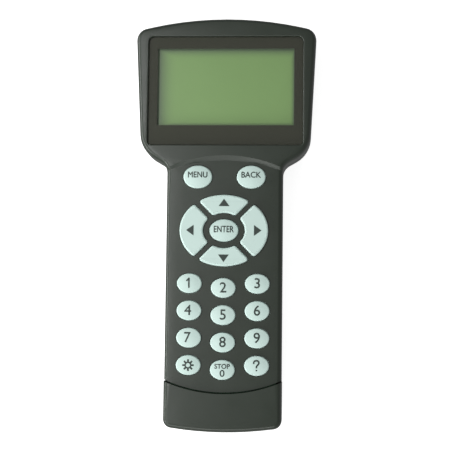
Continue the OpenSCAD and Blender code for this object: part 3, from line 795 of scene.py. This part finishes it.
def disc(points: int, radius: float, place: Vector) -> Piece:
    """Make a flat round face.

    Args:
        points: number of points in its outline.
        radius: its radius, in metres.
        place: where its middle lies.

    Returns:
        The disc, with its place not in its mesh yet.
    """
    put_down()
    bpy.ops.mesh.primitive_circle_add(vertices=points, radius=radius, fill_type="NGON", location=place)
    return bpy.context.object


def tower(rings: Sequence[Ring], centre: Vector, ratio: float = 1.0, points: int = 64) -> Piece:
    """A closed round form, pulled up from a disc ring by ring.

    Args:
        rings: half width and height of each ring, from the foot to the top, in metres.
        centre: where its axis stands.
        ratio: depth of the form over its width.
        points: number of points in a ring.

    Returns:
        The piece, with its place in its mesh.
    """
    (width, height), *others = rings
    about = Vector((centre.x, centre.y, height))
    piece = settle(disc(points, width, about))
    with editing(piece):
        widen(1, ratio, about)
        for half, level in others:
            pull_up(level - height)
            widen(half / width, half / width, Vector((centre.x, centre.y, level)))
            width, height = half, level
    tidy_normals(piece)
    return piece


def fit(piece: Piece, name: str, body: str, slot: str | None, finish: Finish, *nodes: str) -> None:
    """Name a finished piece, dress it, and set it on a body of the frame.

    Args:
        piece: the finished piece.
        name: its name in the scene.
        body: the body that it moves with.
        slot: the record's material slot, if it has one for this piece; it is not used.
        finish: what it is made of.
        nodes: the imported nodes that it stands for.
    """
    piece.name = piece.data.name = name
    piece.data.materials.clear()
    piece.data.materials.append(finish.material())
    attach(piece, body)
    if nodes:
        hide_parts(*nodes)
    LOG.info("%s on %s, %d faces, %s", name, body, len(piece.data.polygons), finish.name.lower())


def dress(kept: dict[str, Finish]) -> None:
    """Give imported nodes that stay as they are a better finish.

    Args:
        kept: the finish of each node.
    """
    for node, finish in kept.items():
        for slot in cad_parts[node].material_slots:
            slot.material = finish.material()
        LOG.info("%s kept, %s", node, finish.name.lower())


# Sub-assemblies


@dataclass(frozen=True)
class Screw:
    """A pan-head screw that points up from its head, with a cross recess and a cut thread.

    The flat and the round of the head are shares of its width and height. The cross has a length, a width
    and a depth.
    """

    seat: float = 6.0
    head_d: float = 5.0
    head_h: float = 2.0
    head_flat: float = 0.55
    head_round: float = 0.6
    round_steps: int = 6
    shank_d: float = 2.5
    shank_len: float = 12.0
    thread_pitch: float = 0.9
    thread_depth: float = 0.25
    thread_start: float = 0.6
    thread_less: float = 2.0
    point_len: float = 1.2
    point_r: float = 0.35
    cross: Triple = (3.0, 0.7, 1.0)
    cross_taper: float = 0.6
    points: int = 28

    def build(self, place: Vector) -> Piece:
        """Pull the screw up from its head and cut its recess.

        Args:
            place: where its axis stands, in metres.

        Returns:
            The screw, with its place in its mesh.
        """
        rings = [(half * MM, level * MM) for half, level in self._rings()]
        piece = tower(rings, place, points=self.points)
        for turn in (0, math.pi / 2):
            self._cut_bar(piece, place, turn)
        return piece

    def _rings(self) -> list[Ring]:
        """Work out the outline of the screw.

        Returns:
            Half width and height of each ring, from the head to the point.
        """
        head_r, shank_r = self.head_d / 2, self.shank_d / 2
        root_r = shank_r - self.thread_depth
        low = self.seat - self.head_h
        rings = []
        for k in range(self.round_steps + 1):
            turn = math.pi / 2 * k / self.round_steps
            half = head_r * (self.head_flat + (1 - self.head_flat) * math.sin(turn))
            rings.append((half, low + self.head_h * self.head_round * (1 - math.cos(turn))))
        rings += [(head_r, self.seat), (shank_r, self.seat)]
        for k in range(int((self.shank_len - self.thread_less) / self.thread_pitch)):
            level = self.seat + self.thread_start + k * self.thread_pitch
            rings += [(root_r, level), (shank_r, level + self.thread_pitch / 2)]
        end = self.seat + self.shank_len
        return rings + [(root_r, end - self.point_len), (self.point_r, end)]

    def _cut_bar(self, piece: Piece, place: Vector, turn: float) -> None:
        """Cut one bar of the cross recess, with its inner end drawn in.

        Args:
            piece: the screw.
            place: where its axis stands, in metres.
            turn: angle of the bar, in radians.
        """
        long, wide, deep = self.cross
        at = Vector((place.x, place.y, (self.seat - self.head_h) * MM))
        put_down()
        bpy.ops.mesh.primitive_cube_add(size=2 * deep * MM, location=at, rotation=(0, 0, turn))
        cutter = bpy.context.object
        cutter.scale = (long / (2 * deep), wide / (2 * deep), 1)
        settle(cutter)
        with editing(cutter):
            pick_faces(cutter, lambda centre, normal: normal.z > LEVEL)
            widen(self.cross_taper, self.cross_taper, at)
        modify(piece, "BOOLEAN", operation="DIFFERENCE", object=cutter, solver="EXACT")
        bpy.data.objects.remove(cutter)


@dataclass
class Case:
    """The mouldings of the case and the screws that hold them."""

    flat_angle: float = 0.4
    smooth_angle: float = 32
    recess_break: float = 0.42
    recess_room: float = 0.5
    recess_rise: float = 0.2
    break_steps: int = 3
    screw: Screw = Screw()
    screw_reach: float = 5.05
    screw_smooth: float = 30

    def build(self) -> None:
        """Build and dress the mouldings and screws."""
        self._shell("front_shell", "case_plastic", Finish.FRONT)
        self._shell("end_cap", "case_plastic", Finish.FRONT)
        self._shell("rear_shell", "back_plastic", Finish.BACK)
        self._screws()

    def _shell(self, node: str, slot: str, finish: Finish) -> None:
        """Carry a moulding over with its flat faces made whole and its round ones smooth.

        Args:
            node: the moulding's node.
            slot: its material slot.
            finish: what it is made of.
        """
        piece = copy_of(node)
        with editing(piece, Pick.EDGE):
            flat = math.radians(self.flat_angle)
            bpy.ops.mesh.dissolve_limited(angle_limit=flat, use_dissolve_boundaries=False)
            if pick_sharp(piece, self._on_recess):
                bevel(self.recess_break, self.break_steps)
        modify(piece, "TRIANGULATE", min_vertices=5, keep_custom_normals=False)
        smooth(piece, self.smooth_angle)
        fit(piece, node + "_moulding", CASE, slot, finish, node)

    def _on_recess(self, point: Vector) -> bool:
        """Find the rim of the recess that the window lies in.

        Args:
            point: a point of a moulding, in metres.

        Returns:
            Whether the point is on the rim.
        """
        low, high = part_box("display_window")
        room = self.recess_room * MM
        across = low.x - room < point.x < high.x + room
        along = low.y - room < point.y < high.y + room
        return across and along and point.z > high.z + self.recess_rise * MM

    def _screws(self) -> None:
        """Model one case screw and set copies of it in the six counterbores."""
        start, *others = self._screw_places()
        first = self.screw.build(start)
        screws = joined([first] + [twin(first, place - start) for place in others])
        smooth(screws, self.screw_smooth)
        fit(screws, "case_screw_set", CASE, "screw_steel", Finish.STEEL, "case_screws")

    def _screw_places(self) -> list[Vector]:
        """Find the screws from the loose solids of their node.

        Returns:
            Where each axis stands, in metres.
        """
        groups: list[list[Vector]] = []
        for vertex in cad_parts["case_screws"].data.vertices:
            point = vertex.co
            near = [g for g in groups if (g[0].xy - point.xy).length < self.screw_reach * MM]
            if near:
                near[0].append(point)
            else:
                groups.append([point])
        return [middle_of(group) for group in groups]


@dataclass
class Display:
    """The window, its black mask and the display module behind it."""

    flat_angle: float = 1
    window_break: float = 0.22
    window_lift: float = 0.03
    break_steps: int = 3
    smooth_angle: float = 40
    kept: dict[str, Finish] = field(default_factory=lambda: {
        "window_tape": Finish.FILM,
        "lcd_gasket": Finish.FILM,
        "lcd_frame": Finish.SHEET,
        "lcd_glass": Finish.DISPLAY,
        "lcd_backlight": Finish.GUIDE,
        "lcd_contact_strips": Finish.MAT,
        "lcd_board": Finish.LAMINATE,
        "lcd_screws": Finish.STEEL,
    })

    def build(self) -> None:
        """Build the window and dress what lies behind it."""
        dress(self.kept)
        self._window()

    def _window(self) -> None:
        """Break the upper edge of the window plate, and lift its lower face clear of the film's plane."""
        piece = copy_of("display_window")
        with editing(piece):
            bpy.ops.mesh.dissolve_limited(angle_limit=math.radians(self.flat_angle))
            pick_faces(piece, lambda centre, normal: normal.z < -LEVEL)
            bpy.ops.transform.translate(value=(0, 0, self.window_lift * MM))
            pick_faces(piece, lambda centre, normal: normal.z > LEVEL)
            bpy.ops.mesh.region_to_loop()
            bevel(self.window_break, self.break_steps)
        smooth(piece, self.smooth_angle)
        fit(piece, "window_plate", CASE, "window_clear", Finish.WINDOW, "display_window")


class Way(Enum):
    """Where an arrow key points, as degrees from +X."""

    RIGHT = 0
    UP = 90
    LEFT = 180
    DOWN = 270


@dataclass(frozen=True)
class Print:
    """A printed word or number: its text, height, shift from the key's middle, and width if it is set."""

    text: str
    height: float
    shift: Pair = (0.0, 0.0)
    width: float | None = None


@dataclass
class Legends:
    """What is printed on the keys: words, numbers and signs drawn with a broad pen."""

    ink_lift: float = 0.025
    ink_t: float = 0.02
    ink_cuts: int = 1
    hover: float = 1.0
    strike: float = 0.07
    curve_steps: int = 6
    pen: float = 0.72
    pen_cuts: int = 4
    arrow_mark: Pair = (5.2, 3.6)
    arrow_cuts: int = 3
    sun_key: str = "key_light"
    sun_ring: Pair = (1.7, 1.0)
    sun_points: int = 40
    sun_ray: Triple = (1.6, 2.75, 0.85)
    sun_rays: int = 8
    prints: dict[str, tuple[Print, ...]] = field(default_factory=lambda: {
        "key_menu": (Print("MENU", 2.8, (0.0, 1.0), 9.3),),
        "key_back": (Print("BACK", 2.8, (0.0, 1.0), 9.3),),
        "key_enter": (Print("ENTER", 3.0, (0.0, 0.6), 9.5),),
        **{f"key_{n}": (Print(str(n), 4.8, (-0.5 if n % 3 == 1 else 0.0, 0.25)),) for n in range(2, 10)},
        "key_0": (Print("STOP", 2.2, (0.0, 1.7), 7.3), Print("0", 3.2, (0.0, -1.6), 2.2)),
    })
    signs: dict[str, tuple[Line, ...]] = field(default_factory=lambda: {
        "key_1": (((-1.2, 1.2), (-0.1, 2.3)), ((-0.1, 2.5), (-0.1, -2.1))),
        "key_help": (
            ((-1.35, 1.1), (-1.3, 1.8), (-0.85, 2.3), (-0.1, 2.5), (0.6, 2.35), (1.1, 1.85), (1.15, 1.25),
             (0.85, 0.65), (0.3, 0.15), (0.0, -0.35), (0.0, -0.95)),
            ((0.0, -2.0), (0.0, -2.3)),
        ),
    })

    def build(self, node: str, key: Piece, spot: Vector, way: Way | None) -> Piece:
        """Print the legend of a key.

        Args:
            node: the key's node.
            key: the finished key.
            spot: middle of the legend at the height of the key's top, in metres.
            way: where the key points, if it is an arrow key.

        Returns:
            The legend, lying on the key.
        """
        over = spot + Vector((0, 0, self.hover * MM))
        sides = [Vector(side) * self.strike * MM for side in ((1, 0, 0), (-1, 0, 0), (0, 1, 0), (0, -1, 0))]
        marks = [self._text(mark, over + side) for mark in self.prints.get(node, ()) for side in sides]
        marks += [self._pen_line(path, over) for path in self.signs.get(node, ())]
        if way is not None:
            marks.append(self._triangle(way, over))
        if node == self.sun_key:
            marks.append(self._sun(over))
        legend = joined(marks)
        self._drape(legend, key)
        return legend

    def _text(self, mark: Print, over: Vector) -> Piece:
        """Set a printed word or number over a key.

        Args:
            mark: the word or number.
            over: a point over the middle of the key, in metres.

        Returns:
            The text, as a flat mesh.
        """
        put_down()
        bpy.ops.object.text_add()
        word = bpy.context.object
        word.data.body = mark.text
        word.data.resolution_u = self.curve_steps
        bpy.ops.object.convert(target="MESH")
        word = bpy.context.object
        corners = [Vector(corner) for corner in word.bound_box]
        size = Vector([max(axis) - min(axis) for axis in zip(*corners)])
        tall = mark.height * MM / size.y
        wide = mark.width * MM / size.x if mark.width else tall
        word.scale = (wide, tall, 1)
        centre = middle_of(corners)
        shift = Vector(mark.shift).to_3d() * MM
        word.location = over + shift - Vector((centre.x * wide, centre.y * tall, 0))
        return settle(word)

    def _triangle(self, way: Way, over: Vector) -> Piece:
        """Draw the solid triangle on an arrow key, pointing out of the ring.

        Args:
            way: where the key points.
            over: a point over the middle of the key, in metres.

        Returns:
            The triangle, as a flat mesh.
        """
        piece = disc(3, 1, over)
        wide, tall = self.arrow_mark
        piece.scale = (wide * MM / math.sqrt(3), tall * MM / 1.5, 1)
        piece.rotation_euler = Euler((0, 0, math.radians(way.value) - math.pi / 2))
        settle(piece)
        with editing(piece):
            bpy.ops.mesh.subdivide(number_cuts=self.arrow_cuts)
        return piece

    @staticmethod
    def _bar(start: Vector, end: Vector, wide: float, over: Vector, past: float = 0.0) -> Piece:
        """A flat bar over a key.

        Args:
            start: one end of its middle line, from the middle of the key.
            end: the other end.
            wide: width of the bar.
            over: a point over the middle of the key, in metres.
            past: how far the bar runs on past both ends.

        Returns:
            The bar, with its place in its mesh.
        """
        step = end - start
        at = over + ((start + end) / 2).to_3d() * MM
        put_down()
        bpy.ops.mesh.primitive_plane_add(size=MM, location=at, rotation=(0, 0, math.atan2(step.y, step.x)))
        bar = bpy.context.object
        bar.scale = (step.length + 2 * past, wide, 1)
        return settle(bar)

    def _pen_line(self, path: Line, over: Vector) -> Piece:
        """Draw a line with the pen from point to point.

        Args:
            path: the points, from the middle of the key.
            over: a point over the middle of the key, in metres.

        Returns:
            The line, as a flat mesh.
        """
        points = [Vector(point) for point in path]
        line = joined([self._bar(*ends, self.pen, over, self.pen / 4) for ends in zip(points, points[1:])])
        with editing(line):
            bpy.ops.mesh.subdivide(number_cuts=self.pen_cuts)
        return line

    def _sun(self, over: Vector) -> Piece:
        """Draw the sign of the lamp: a ring with rays.

        Args:
            over: a point over the middle of the key, in metres.

        Returns:
            The sign, as a flat mesh.
        """
        outer, inner = (radius * MM for radius in self.sun_ring)
        ring = settle(disc(self.sun_points, outer, over))
        with editing(ring):
            bpy.ops.mesh.inset(thickness=outer - inner)
            bpy.ops.mesh.delete(type="FACE")
        near, far, wide = self.sun_ray
        turns = [math.tau * k / self.sun_rays for k in range(self.sun_rays)]
        ways = [Vector((math.cos(turn), math.sin(turn))) for turn in turns]
        return joined([ring] + [self._bar(way * near, way * far, wide, over) for way in ways])

    def _drape(self, legend: Piece, key: Piece) -> None:
        """Lay a flat legend on the crowned top of its key, as thick as ink.

        Args:
            legend: the flat legend over the key.
            key: the key.
        """
        with editing(legend):
            bpy.ops.mesh.quads_convert_to_tris()
            bpy.ops.mesh.subdivide(number_cuts=self.ink_cuts)
        modify(
            legend, "SHRINKWRAP", target=key, wrap_method="PROJECT", use_project_z=True,
            use_negative_direction=True, use_positive_direction=False, wrap_mode="ABOVE_SURFACE",
            offset=self.ink_lift * MM,
        )
        modify(legend, "SOLIDIFY", thickness=self.ink_t * MM, offset=1.0)


@dataclass
class Keypad:
    """The nineteen keys and the mat that springs them."""

    flange_w: float = 1.0
    flange_t: float = 1.0
    stem_r: float = 2.4
    stem_len: float = 1.55
    stem_break: float = 0.2
    stem_points: int = 40
    sheet_t: float = 1.0
    web_reach: float = 4.6
    web_keep: float = 0.35
    key_edge: float = 0.8
    key_dome: float = 0.5
    edge_steps: int = 6
    dome_steps: int = 6
    top_inset: float = 0.2
    smooth_angle: float = 40
    ring_gap: float = 2.6
    ring_points: int = 120
    arrow_corner: float = 1.15
    corner_bend: float = 0.5
    corner_room: float = 2.3
    enter_gap: float = 3.1
    legends: Legends = field(default_factory=Legends)
    wide_keys: tuple[str, ...] = ("key_menu", "key_back", "key_enter")
    small_keys: tuple[str, ...] = (
        *(f"key_{n}" for n in range(2, 10)), "key_1", "key_light", "key_0", "key_help")
    arrows: dict[str, Way] = field(default_factory=lambda: {
        "key_up": Way.UP, "key_left": Way.LEFT, "key_down": Way.DOWN, "key_right": Way.RIGHT,
    })

    def build(self) -> None:
        """Build the mat, and every key with its legend."""
        self._mat()
        for node in self.wide_keys:
            self._finish_key(self._oval(node), node)
        first = self._oval("key_1")
        start = self._middle("key_1")
        for node in self.small_keys:
            self._finish_key(twin(first, self._middle(node) - start), node)
        bpy.data.objects.remove(first)
        for node, way in self.arrows.items():
            self._finish_key(self._arrow(node, way), node)

    def _finish_key(self, key: Piece, node: str) -> None:
        """Smooth a key, print its legend and set both on the key's body.

        Args:
            key: the form of the key.
            node: the key's node.
        """
        smooth(key, self.smooth_angle)
        spot = self._stem_place(node) if node in self.arrows else self._middle(node)
        spot.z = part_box(node)[1].z
        legend = self.legends.build(node, key, spot, self.arrows.get(node))
        fit(key, node + "_cap", node, "silicone_key", Finish.KEY, node)
        fit(legend, node + "_legend", node, None, Finish.INK)

    def _mat(self) -> None:
        """Part the mat into its sheet and a web under each key."""
        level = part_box("keypad_mat")[0].z + self.sheet_t * MM
        sheet = copy_of("keypad_mat")
        with editing(sheet):
            pick_faces(sheet, lambda centre, normal: centre.z > level + NEAR)
            bpy.ops.mesh.separate(type="SELECTED")
        upper = next(piece for piece in bpy.context.selected_objects if piece != sheet)
        take(upper)
        bpy.ops.mesh.separate(type="LOOSE")
        webs = {piece: middle_of(map(Vector, piece.bound_box)) for piece in bpy.context.selected_objects}
        places = {node: self._middle(node) for node in (*self.wide_keys, *self.small_keys)}
        places.update({node: self._stem_place(node) for node in self.arrows})
        for node, place in places.items():
            web = min(webs, key=lambda piece: (webs[piece].xy - place.xy).length)
            for piece in (sheet, web):
                self._close_ring(piece, place)
            smooth(web)
            fit(web, node + "_web", CASE, "silicone_mat", Finish.MAT)
            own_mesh(web)
        smooth(sheet)
        fit(sheet, "keypad_sheet", CASE, "silicone_mat", Finish.MAT, "keypad_mat")

    def _close_ring(self, piece: Piece, place: Vector) -> None:
        """Close the ring where a web was parted from the sheet.

        Args:
            piece: the web or the sheet.
            place: middle of the web, in metres.
        """
        with editing(piece, Pick.EDGE):
            pick_edges(piece, lambda edge: edge.is_boundary and all(
                (vertex.co.xy - place.xy).length < self.web_reach * MM for vertex in edge.verts))
            bpy.ops.mesh.bridge_edge_loops()
        tidy_normals(piece)

    @staticmethod
    def _middle(node: str) -> Vector:
        """Middle of a key's box, at its top."""
        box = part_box(node)
        return middle_of(box, box[1].z)

    def _oval(self, node: str) -> Piece:
        """Pull up an oval key from its stem, with its flange.

        Args:
            node: the key's node.

        Returns:
            The key, not smoothed yet.
        """
        low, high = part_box(node)
        outer = (high.x - low.x) / 2
        half = outer - self.flange_w * MM
        flange = low.z + self.stem_len * MM
        flange_top = flange + self.flange_t * MM
        stem = self.stem_r * MM
        rings = [(stem, low.z), (stem, flange), (outer, flange), (outer, flange_top), (half, flange_top)]
        rings += [(half - inset, level) for inset, level in self._crown(half, high.z)]
        return tower(rings, self._middle(node), (high.y - low.y) / (high.x - low.x))

    def _crown(self, half: float, top: float) -> list[Ring]:
        """Inset and height of a key's rounded edge and crowned top, in metres.

        Args:
            half: half the width of the key.
            top: height of its highest point.

        Returns:
            Rings from the wall to near the middle.
        """
        edge, dome = self.key_edge * MM, self.key_dome * MM
        rim = top - dome
        rings = []
        for k in range(self.edge_steps + 1):
            turn = math.pi / 2 * k / self.edge_steps
            rings.append((edge * (1 - math.cos(turn)), rim - edge * (1 - math.sin(turn))))
        for k in range(1, self.dome_steps + 1):
            share = k / (self.dome_steps + 0.5)
            rings.append((edge + (half - edge) * share, rim + dome * share * (2 - share)))
        return rings

    def _arrow(self, node: str, way: Way) -> Piece:
        """Make a quarter of the ring, with round corners and a round edge, on its flange and stem.

        Args:
            node: the key's node.
            way: where the key points.

        Returns:
            The key, not smoothed yet.
        """
        low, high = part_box(node)
        flange = low.z + self.stem_len * MM
        foot = flange + self.flange_t * MM / 2
        cap = self._quarter(way, foot, 0)
        with editing(cap):
            pull_up(high.z - foot)
            bpy.ops.mesh.select_mode(type=Pick.EDGE.value)
            self._round_corners(cap)
            pick_sharp(cap, lambda point: point.z > high.z - NEAR)
            bevel(self.key_edge, self.edge_steps)
            bpy.ops.mesh.select_mode(type=Pick.FACE.value)
            pick_faces(cap, lambda centre, normal: centre.z > high.z - MERGE)
            bpy.ops.mesh.inset(thickness=self.top_inset * MM)
        skirt = self._quarter(way, flange, self.flange_w * MM)
        with editing(skirt):
            pull_up(self.flange_t * MM)
        piece = joined([cap, skirt, self._stem(node, low.z, flange)])
        tidy_normals(piece)
        return piece

    def _quarter(self, way: Way, level: float, grow: float) -> Piece:
        """A flat quarter of the ring, cut from an oval band.

        Args:
            way: where the arrow key points.
            level: height of the quarter, in metres.
            grow: how far it reaches past the key's own outline, in metres.

        Returns:
            The quarter, as one face with sharp corners.
        """
        centre, outer, inner = self._ring_halves()
        at = Vector((centre.x, centre.y, level))
        put_down()
        bpy.ops.mesh.primitive_circle_add(vertices=self.ring_points, radius=1, location=at)
        piece = settle(bpy.context.object)
        with editing(piece, Pick.EDGE):
            widen(outer.x + grow, outer.y + grow, at)
            bpy.ops.mesh.primitive_circle_add(vertices=self.ring_points, radius=1, location=at)
            widen(inner.x - grow, inner.y - grow, at)
            bpy.ops.mesh.select_all(action="SELECT")
            bpy.ops.mesh.bridge_edge_loops()
            for side in (-45, 45):
                turn = math.radians(way.value + side)
                normal = Vector((math.cos(turn), math.sin(turn), 0))
                bpy.ops.mesh.select_all(action="SELECT")
                start = at + normal * (self.ring_gap / 2 * MM - grow)
                bpy.ops.mesh.bisect(plane_co=start, plane_no=normal, clear_inner=True)
            bpy.ops.mesh.select_mode(type=Pick.FACE.value)
            bpy.ops.mesh.select_all(action="SELECT")
            bpy.ops.mesh.dissolve_faces()
            bpy.ops.mesh.select_mode(type=Pick.VERT.value)
            self._pick_beside_corners(piece)
            bpy.ops.mesh.dissolve_verts()
            bpy.ops.mesh.select_all(action="SELECT")
            bpy.ops.mesh.normals_make_consistent(inside=False)
        return piece

    def _ring_halves(self) -> tuple[Vector, Vector, Vector]:
        """Measure the ring of arrow keys.

        Returns:
            Its centre, outer half axes and inner half axes, in metres.
        """
        low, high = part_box("key_enter")
        centre = self._middle("key_enter")
        flange = self.flange_w * MM
        outer = Vector((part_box("key_right")[1].x - flange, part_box("key_up")[1].y - flange)) - centre.xy
        ratio = (high.y - low.y) / (high.x - low.x)
        enter = (high.x - low.x) / 2 - flange
        gap = self.enter_gap * MM
        return centre, outer, Vector((enter + gap, enter * ratio + gap))

    def _pick_beside_corners(self, piece: Piece) -> None:
        """Select the points of an outline that crowd its corners.

        Args:
            piece: the flat quarter, in edit mode.
        """
        bpy.ops.mesh.select_all(action="DESELECT")
        mesh = bmesh.from_edit_mesh(piece.data)
        corners = [v for v in mesh.verts if v.calc_edge_angle(0) > self.corner_bend]
        for vertex in mesh.verts:
            near = any((vertex.co - corner.co).length < self.corner_room * MM for corner in corners)
            if vertex not in corners and near:
                vertex.select_set(True)
        bmesh.update_edit_mesh(piece.data)

    def _round_corners(self, cap: Piece) -> None:
        """Round the upright corners of an arrow key to one radius, whatever their angle.

        Args:
            cap: the key's cap, in edit mode.
        """
        def bend(edge: bmesh.types.BMEdge) -> float:
            """Angle between the walls at an upright edge, or nothing at any other edge."""
            upright = abs(edge.verts[0].co.z - edge.verts[1].co.z) > MM
            return round(edge.calc_face_angle(0), 2) if upright else 0.0

        mesh = bmesh.from_edit_mesh(cap.data)
        for angle in sorted({bend(edge) for edge in mesh.edges}):
            if angle > self.corner_bend:
                pick_edges(cap, lambda edge: bend(edge) == angle)
                bevel(self.arrow_corner * math.tan(angle / 2), self.edge_steps)

    def _stem(self, node: str, low: float, flange: float) -> Piece:
        """Make the stem under an arrow key.

        Args:
            node: the key's node.
            low: height of its lower end, in metres.
            flange: height of the flange's lower face, in metres.

        Returns:
            The stem.
        """
        stem, cut = self.stem_r * MM, self.stem_break * MM
        rings = [(stem - cut, low), (stem, low + cut), (stem, flange + cut)]
        return tower(rings, self._stem_place(node), points=self.stem_points)

    def _stem_place(self, node: str) -> Vector:
        """Find the middle of an arrow key's stem, halfway across the ring.

        Args:
            node: the key's node.

        Returns:
            Where the stem stands, in metres.
        """
        centre, outer, inner = self._ring_halves()
        turn = math.radians(self.arrows[node].value)
        middle = (outer + inner) / 2
        return centre + Vector((middle.x * math.cos(turn), middle.y * math.sin(turn), 0))


@dataclass
class Innards:
    """What the case hides: boards, chips, cell, ribbon and sockets."""

    flat_angle: float = 1
    jack_break: float = 0.2
    break_steps: int = 2
    kept: dict[str, Finish] = field(default_factory=lambda: {
        "main_board": Finish.LAMINATE,
        "board_screws": Finish.STEEL,
        "board_chips": Finish.CHIP,
        "key_leds": Finish.CARRIER,
        "buzzer": Finish.CHIP,
        "clock_cell": Finish.STEEL,
        "cell_holder": Finish.CHIP,
        "ribbon_sockets": Finish.CARRIER,
        "display_ribbon": Finish.RIBBON,
        "mount_jack_contacts": Finish.GOLD,
        "serial_jack_contacts": Finish.GOLD,
        "reading_light_led": Finish.GUIDE,
    })

    def build(self) -> None:
        """Dress what the case hides and break the edges of the two sockets."""
        dress(self.kept)
        for node in ("mount_jack", "serial_jack"):
            self._socket(node)

    def _socket(self, node: str) -> None:
        """Break the edges of a modular socket's mouth.

        Args:
            node: the socket's node.
        """
        piece = copy_of(node)
        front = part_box(node)[0].y
        with editing(piece, Pick.EDGE):
            bpy.ops.mesh.dissolve_limited(angle_limit=math.radians(self.flat_angle))
            pick_sharp(piece, lambda point: abs(point.y - front) < NEAR)
            bevel(self.jack_break, self.break_steps)
        smooth(piece)
        fit(piece, node + "_body", CASE, "socket_plastic", Finish.SOCKET, node)


@dataclass
class ReadingLight:
    """The small lens on the back."""

    crown: float = 0.25
    crown_steps: int = 6
    rim: float = 0.15
    flange_w: float = 1.0
    flange_t: float = 0.8
    points: int = 48
    smooth_angle: float = 40

    def build(self) -> None:
        """Pull the lens up from its outer face to its flange."""
        low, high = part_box("reading_light_lens")
        flange = (high.x - low.x) / 2
        half = flange - self.flange_w * MM
        rim, crown = self.rim * MM, self.crown * MM
        step = high.z - self.flange_t * MM
        shares = [k / self.crown_steps for k in range(1, self.crown_steps)]
        rings = [(half * share, low.z + crown * share ** 2) for share in shares]
        rings += [(half - rim, low.z + crown), (half, low.z + crown + rim)]
        rings += [(half, step), (flange, step), (flange, high.z)]
        piece = tower(rings, middle_of((low, high)), points=self.points)
        smooth(piece, self.smooth_angle)
        fit(piece, "reading_light_dome", CASE, "lamp_clear", Finish.LENS, "reading_light_lens")


# Studio


@dataclass(frozen=True)
class Softbox:
    """A soft light that looks at the middle of the controller.

    It has a place, a size across its level edge and its other edge, and a power in watts.
    """

    name: str
    place: Triple
    size: Pair
    power: float

    def build(self) -> None:
        """Hang the light with its first edge level."""
        data = bpy.data.lights.new(self.name, "AREA")
        data.shape = "RECTANGLE"
        data.size, data.size_y = self.size[0] * MM, self.size[1] * MM
        data.energy = self.power
        light = added(self.name, data)
        light.location = Vector(self.place) * MM
        light.rotation_euler = light.location.to_track_quat("Z", "Y").to_euler()


@dataclass
class Studio:
    """The floor, the lights and the camera at the photograph's view.

    The tilt is that of the keypad face, in degrees about the camera's axes, and the aim is where the
    middle of the face lies in the view.
    """

    image_px: float = 455
    focal_px: float = 1247.4
    distance: float = 600
    face_height: float = 22.95
    tilt: Triple = (-5.0, -3.308, -0.657)
    aim: Pair = (-1.68, 2.335)
    sensor: float = 36
    clip: Pair = (10, 10000)
    floor_half: float = 1500
    floor_drop: float = 0.2
    sky: float = 0.3
    lights: tuple[Softbox, ...] = (
        Softbox("left_softbox", (-122, 6, 322), (390, 44), 0.56),
        Softbox("side_softbox", (-420, 0, 64), (600, 110), 1.7),
        Softbox("foot_softbox", (-180, -480, 180), (700, 280), 1.7),
    )

    def build(self) -> None:
        """Set up the camera, the floor and the lights."""
        self._camera()
        self._floor()
        self._lights()

    def _camera(self) -> None:
        """Place the camera from the tilt of the keypad face in the photograph."""
        turns = [Matrix.Rotation(math.radians(angle), 3, axis) for angle, axis in zip(self.tilt, "XYZ")]
        view = (turns[0] @ turns[1] @ turns[2]).transposed()
        eye = view @ Vector((-self.aim[0], -self.aim[1], self.distance)) + Vector((0, 0, self.face_height))
        data = bpy.data.cameras.new("photo_camera")
        data.sensor_width = self.sensor
        data.lens = self.sensor * self.focal_px / self.image_px
        data.clip_start, data.clip_end = self.clip[0] * MM, self.clip[1] * MM
        camera = added("photo_camera", data)
        camera.matrix_world = Matrix.Translation(eye * MM) @ view.to_4x4()
        bpy.context.scene.camera = camera

    def _floor(self) -> None:
        """Lay the paper that the controller lies on."""
        put_down()
        size = 2 * self.floor_half * MM
        bpy.ops.mesh.primitive_plane_add(size=size, location=(0, 0, -self.floor_drop * MM))
        floor = settle(bpy.context.object)
        floor.name = "floor"
        floor.visible_diffuse = floor.visible_glossy = False
        floor.data.materials.append(Finish.FLOOR.material())
        floor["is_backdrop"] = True

    def _lights(self) -> None:
        """Hang the softboxes in dim, even surroundings."""
        world = bpy.data.worlds.new("studio")
        bpy.context.scene.world = world
        world.use_nodes = True
        backdrop = world.node_tree.nodes["Background"]
        backdrop.inputs["Color"].default_value = WHITE
        backdrop.inputs["Strength"].default_value = self.sky
        for light in self.lights:
            light.build()
        bpy.context.scene.view_settings.view_transform = "Standard"


def main() -> None:
    """Build the controller piece by piece, then measure both boxes."""
    logging.basicConfig(level=logging.INFO, format="%(name)s: %(message)s")
    for part in (Studio(), Case(), Display(), Keypad(), Innards(), ReadingLight()):
        LOG.info("building %s", type(part).__name__)
        part.build()
    boxes = {"cad": CAD_BOX, "visual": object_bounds()}
    json.dumps({name: [list(corner) for corner in box] for name, box in boxes.items()})


if __name__ == "__main__":
    main()
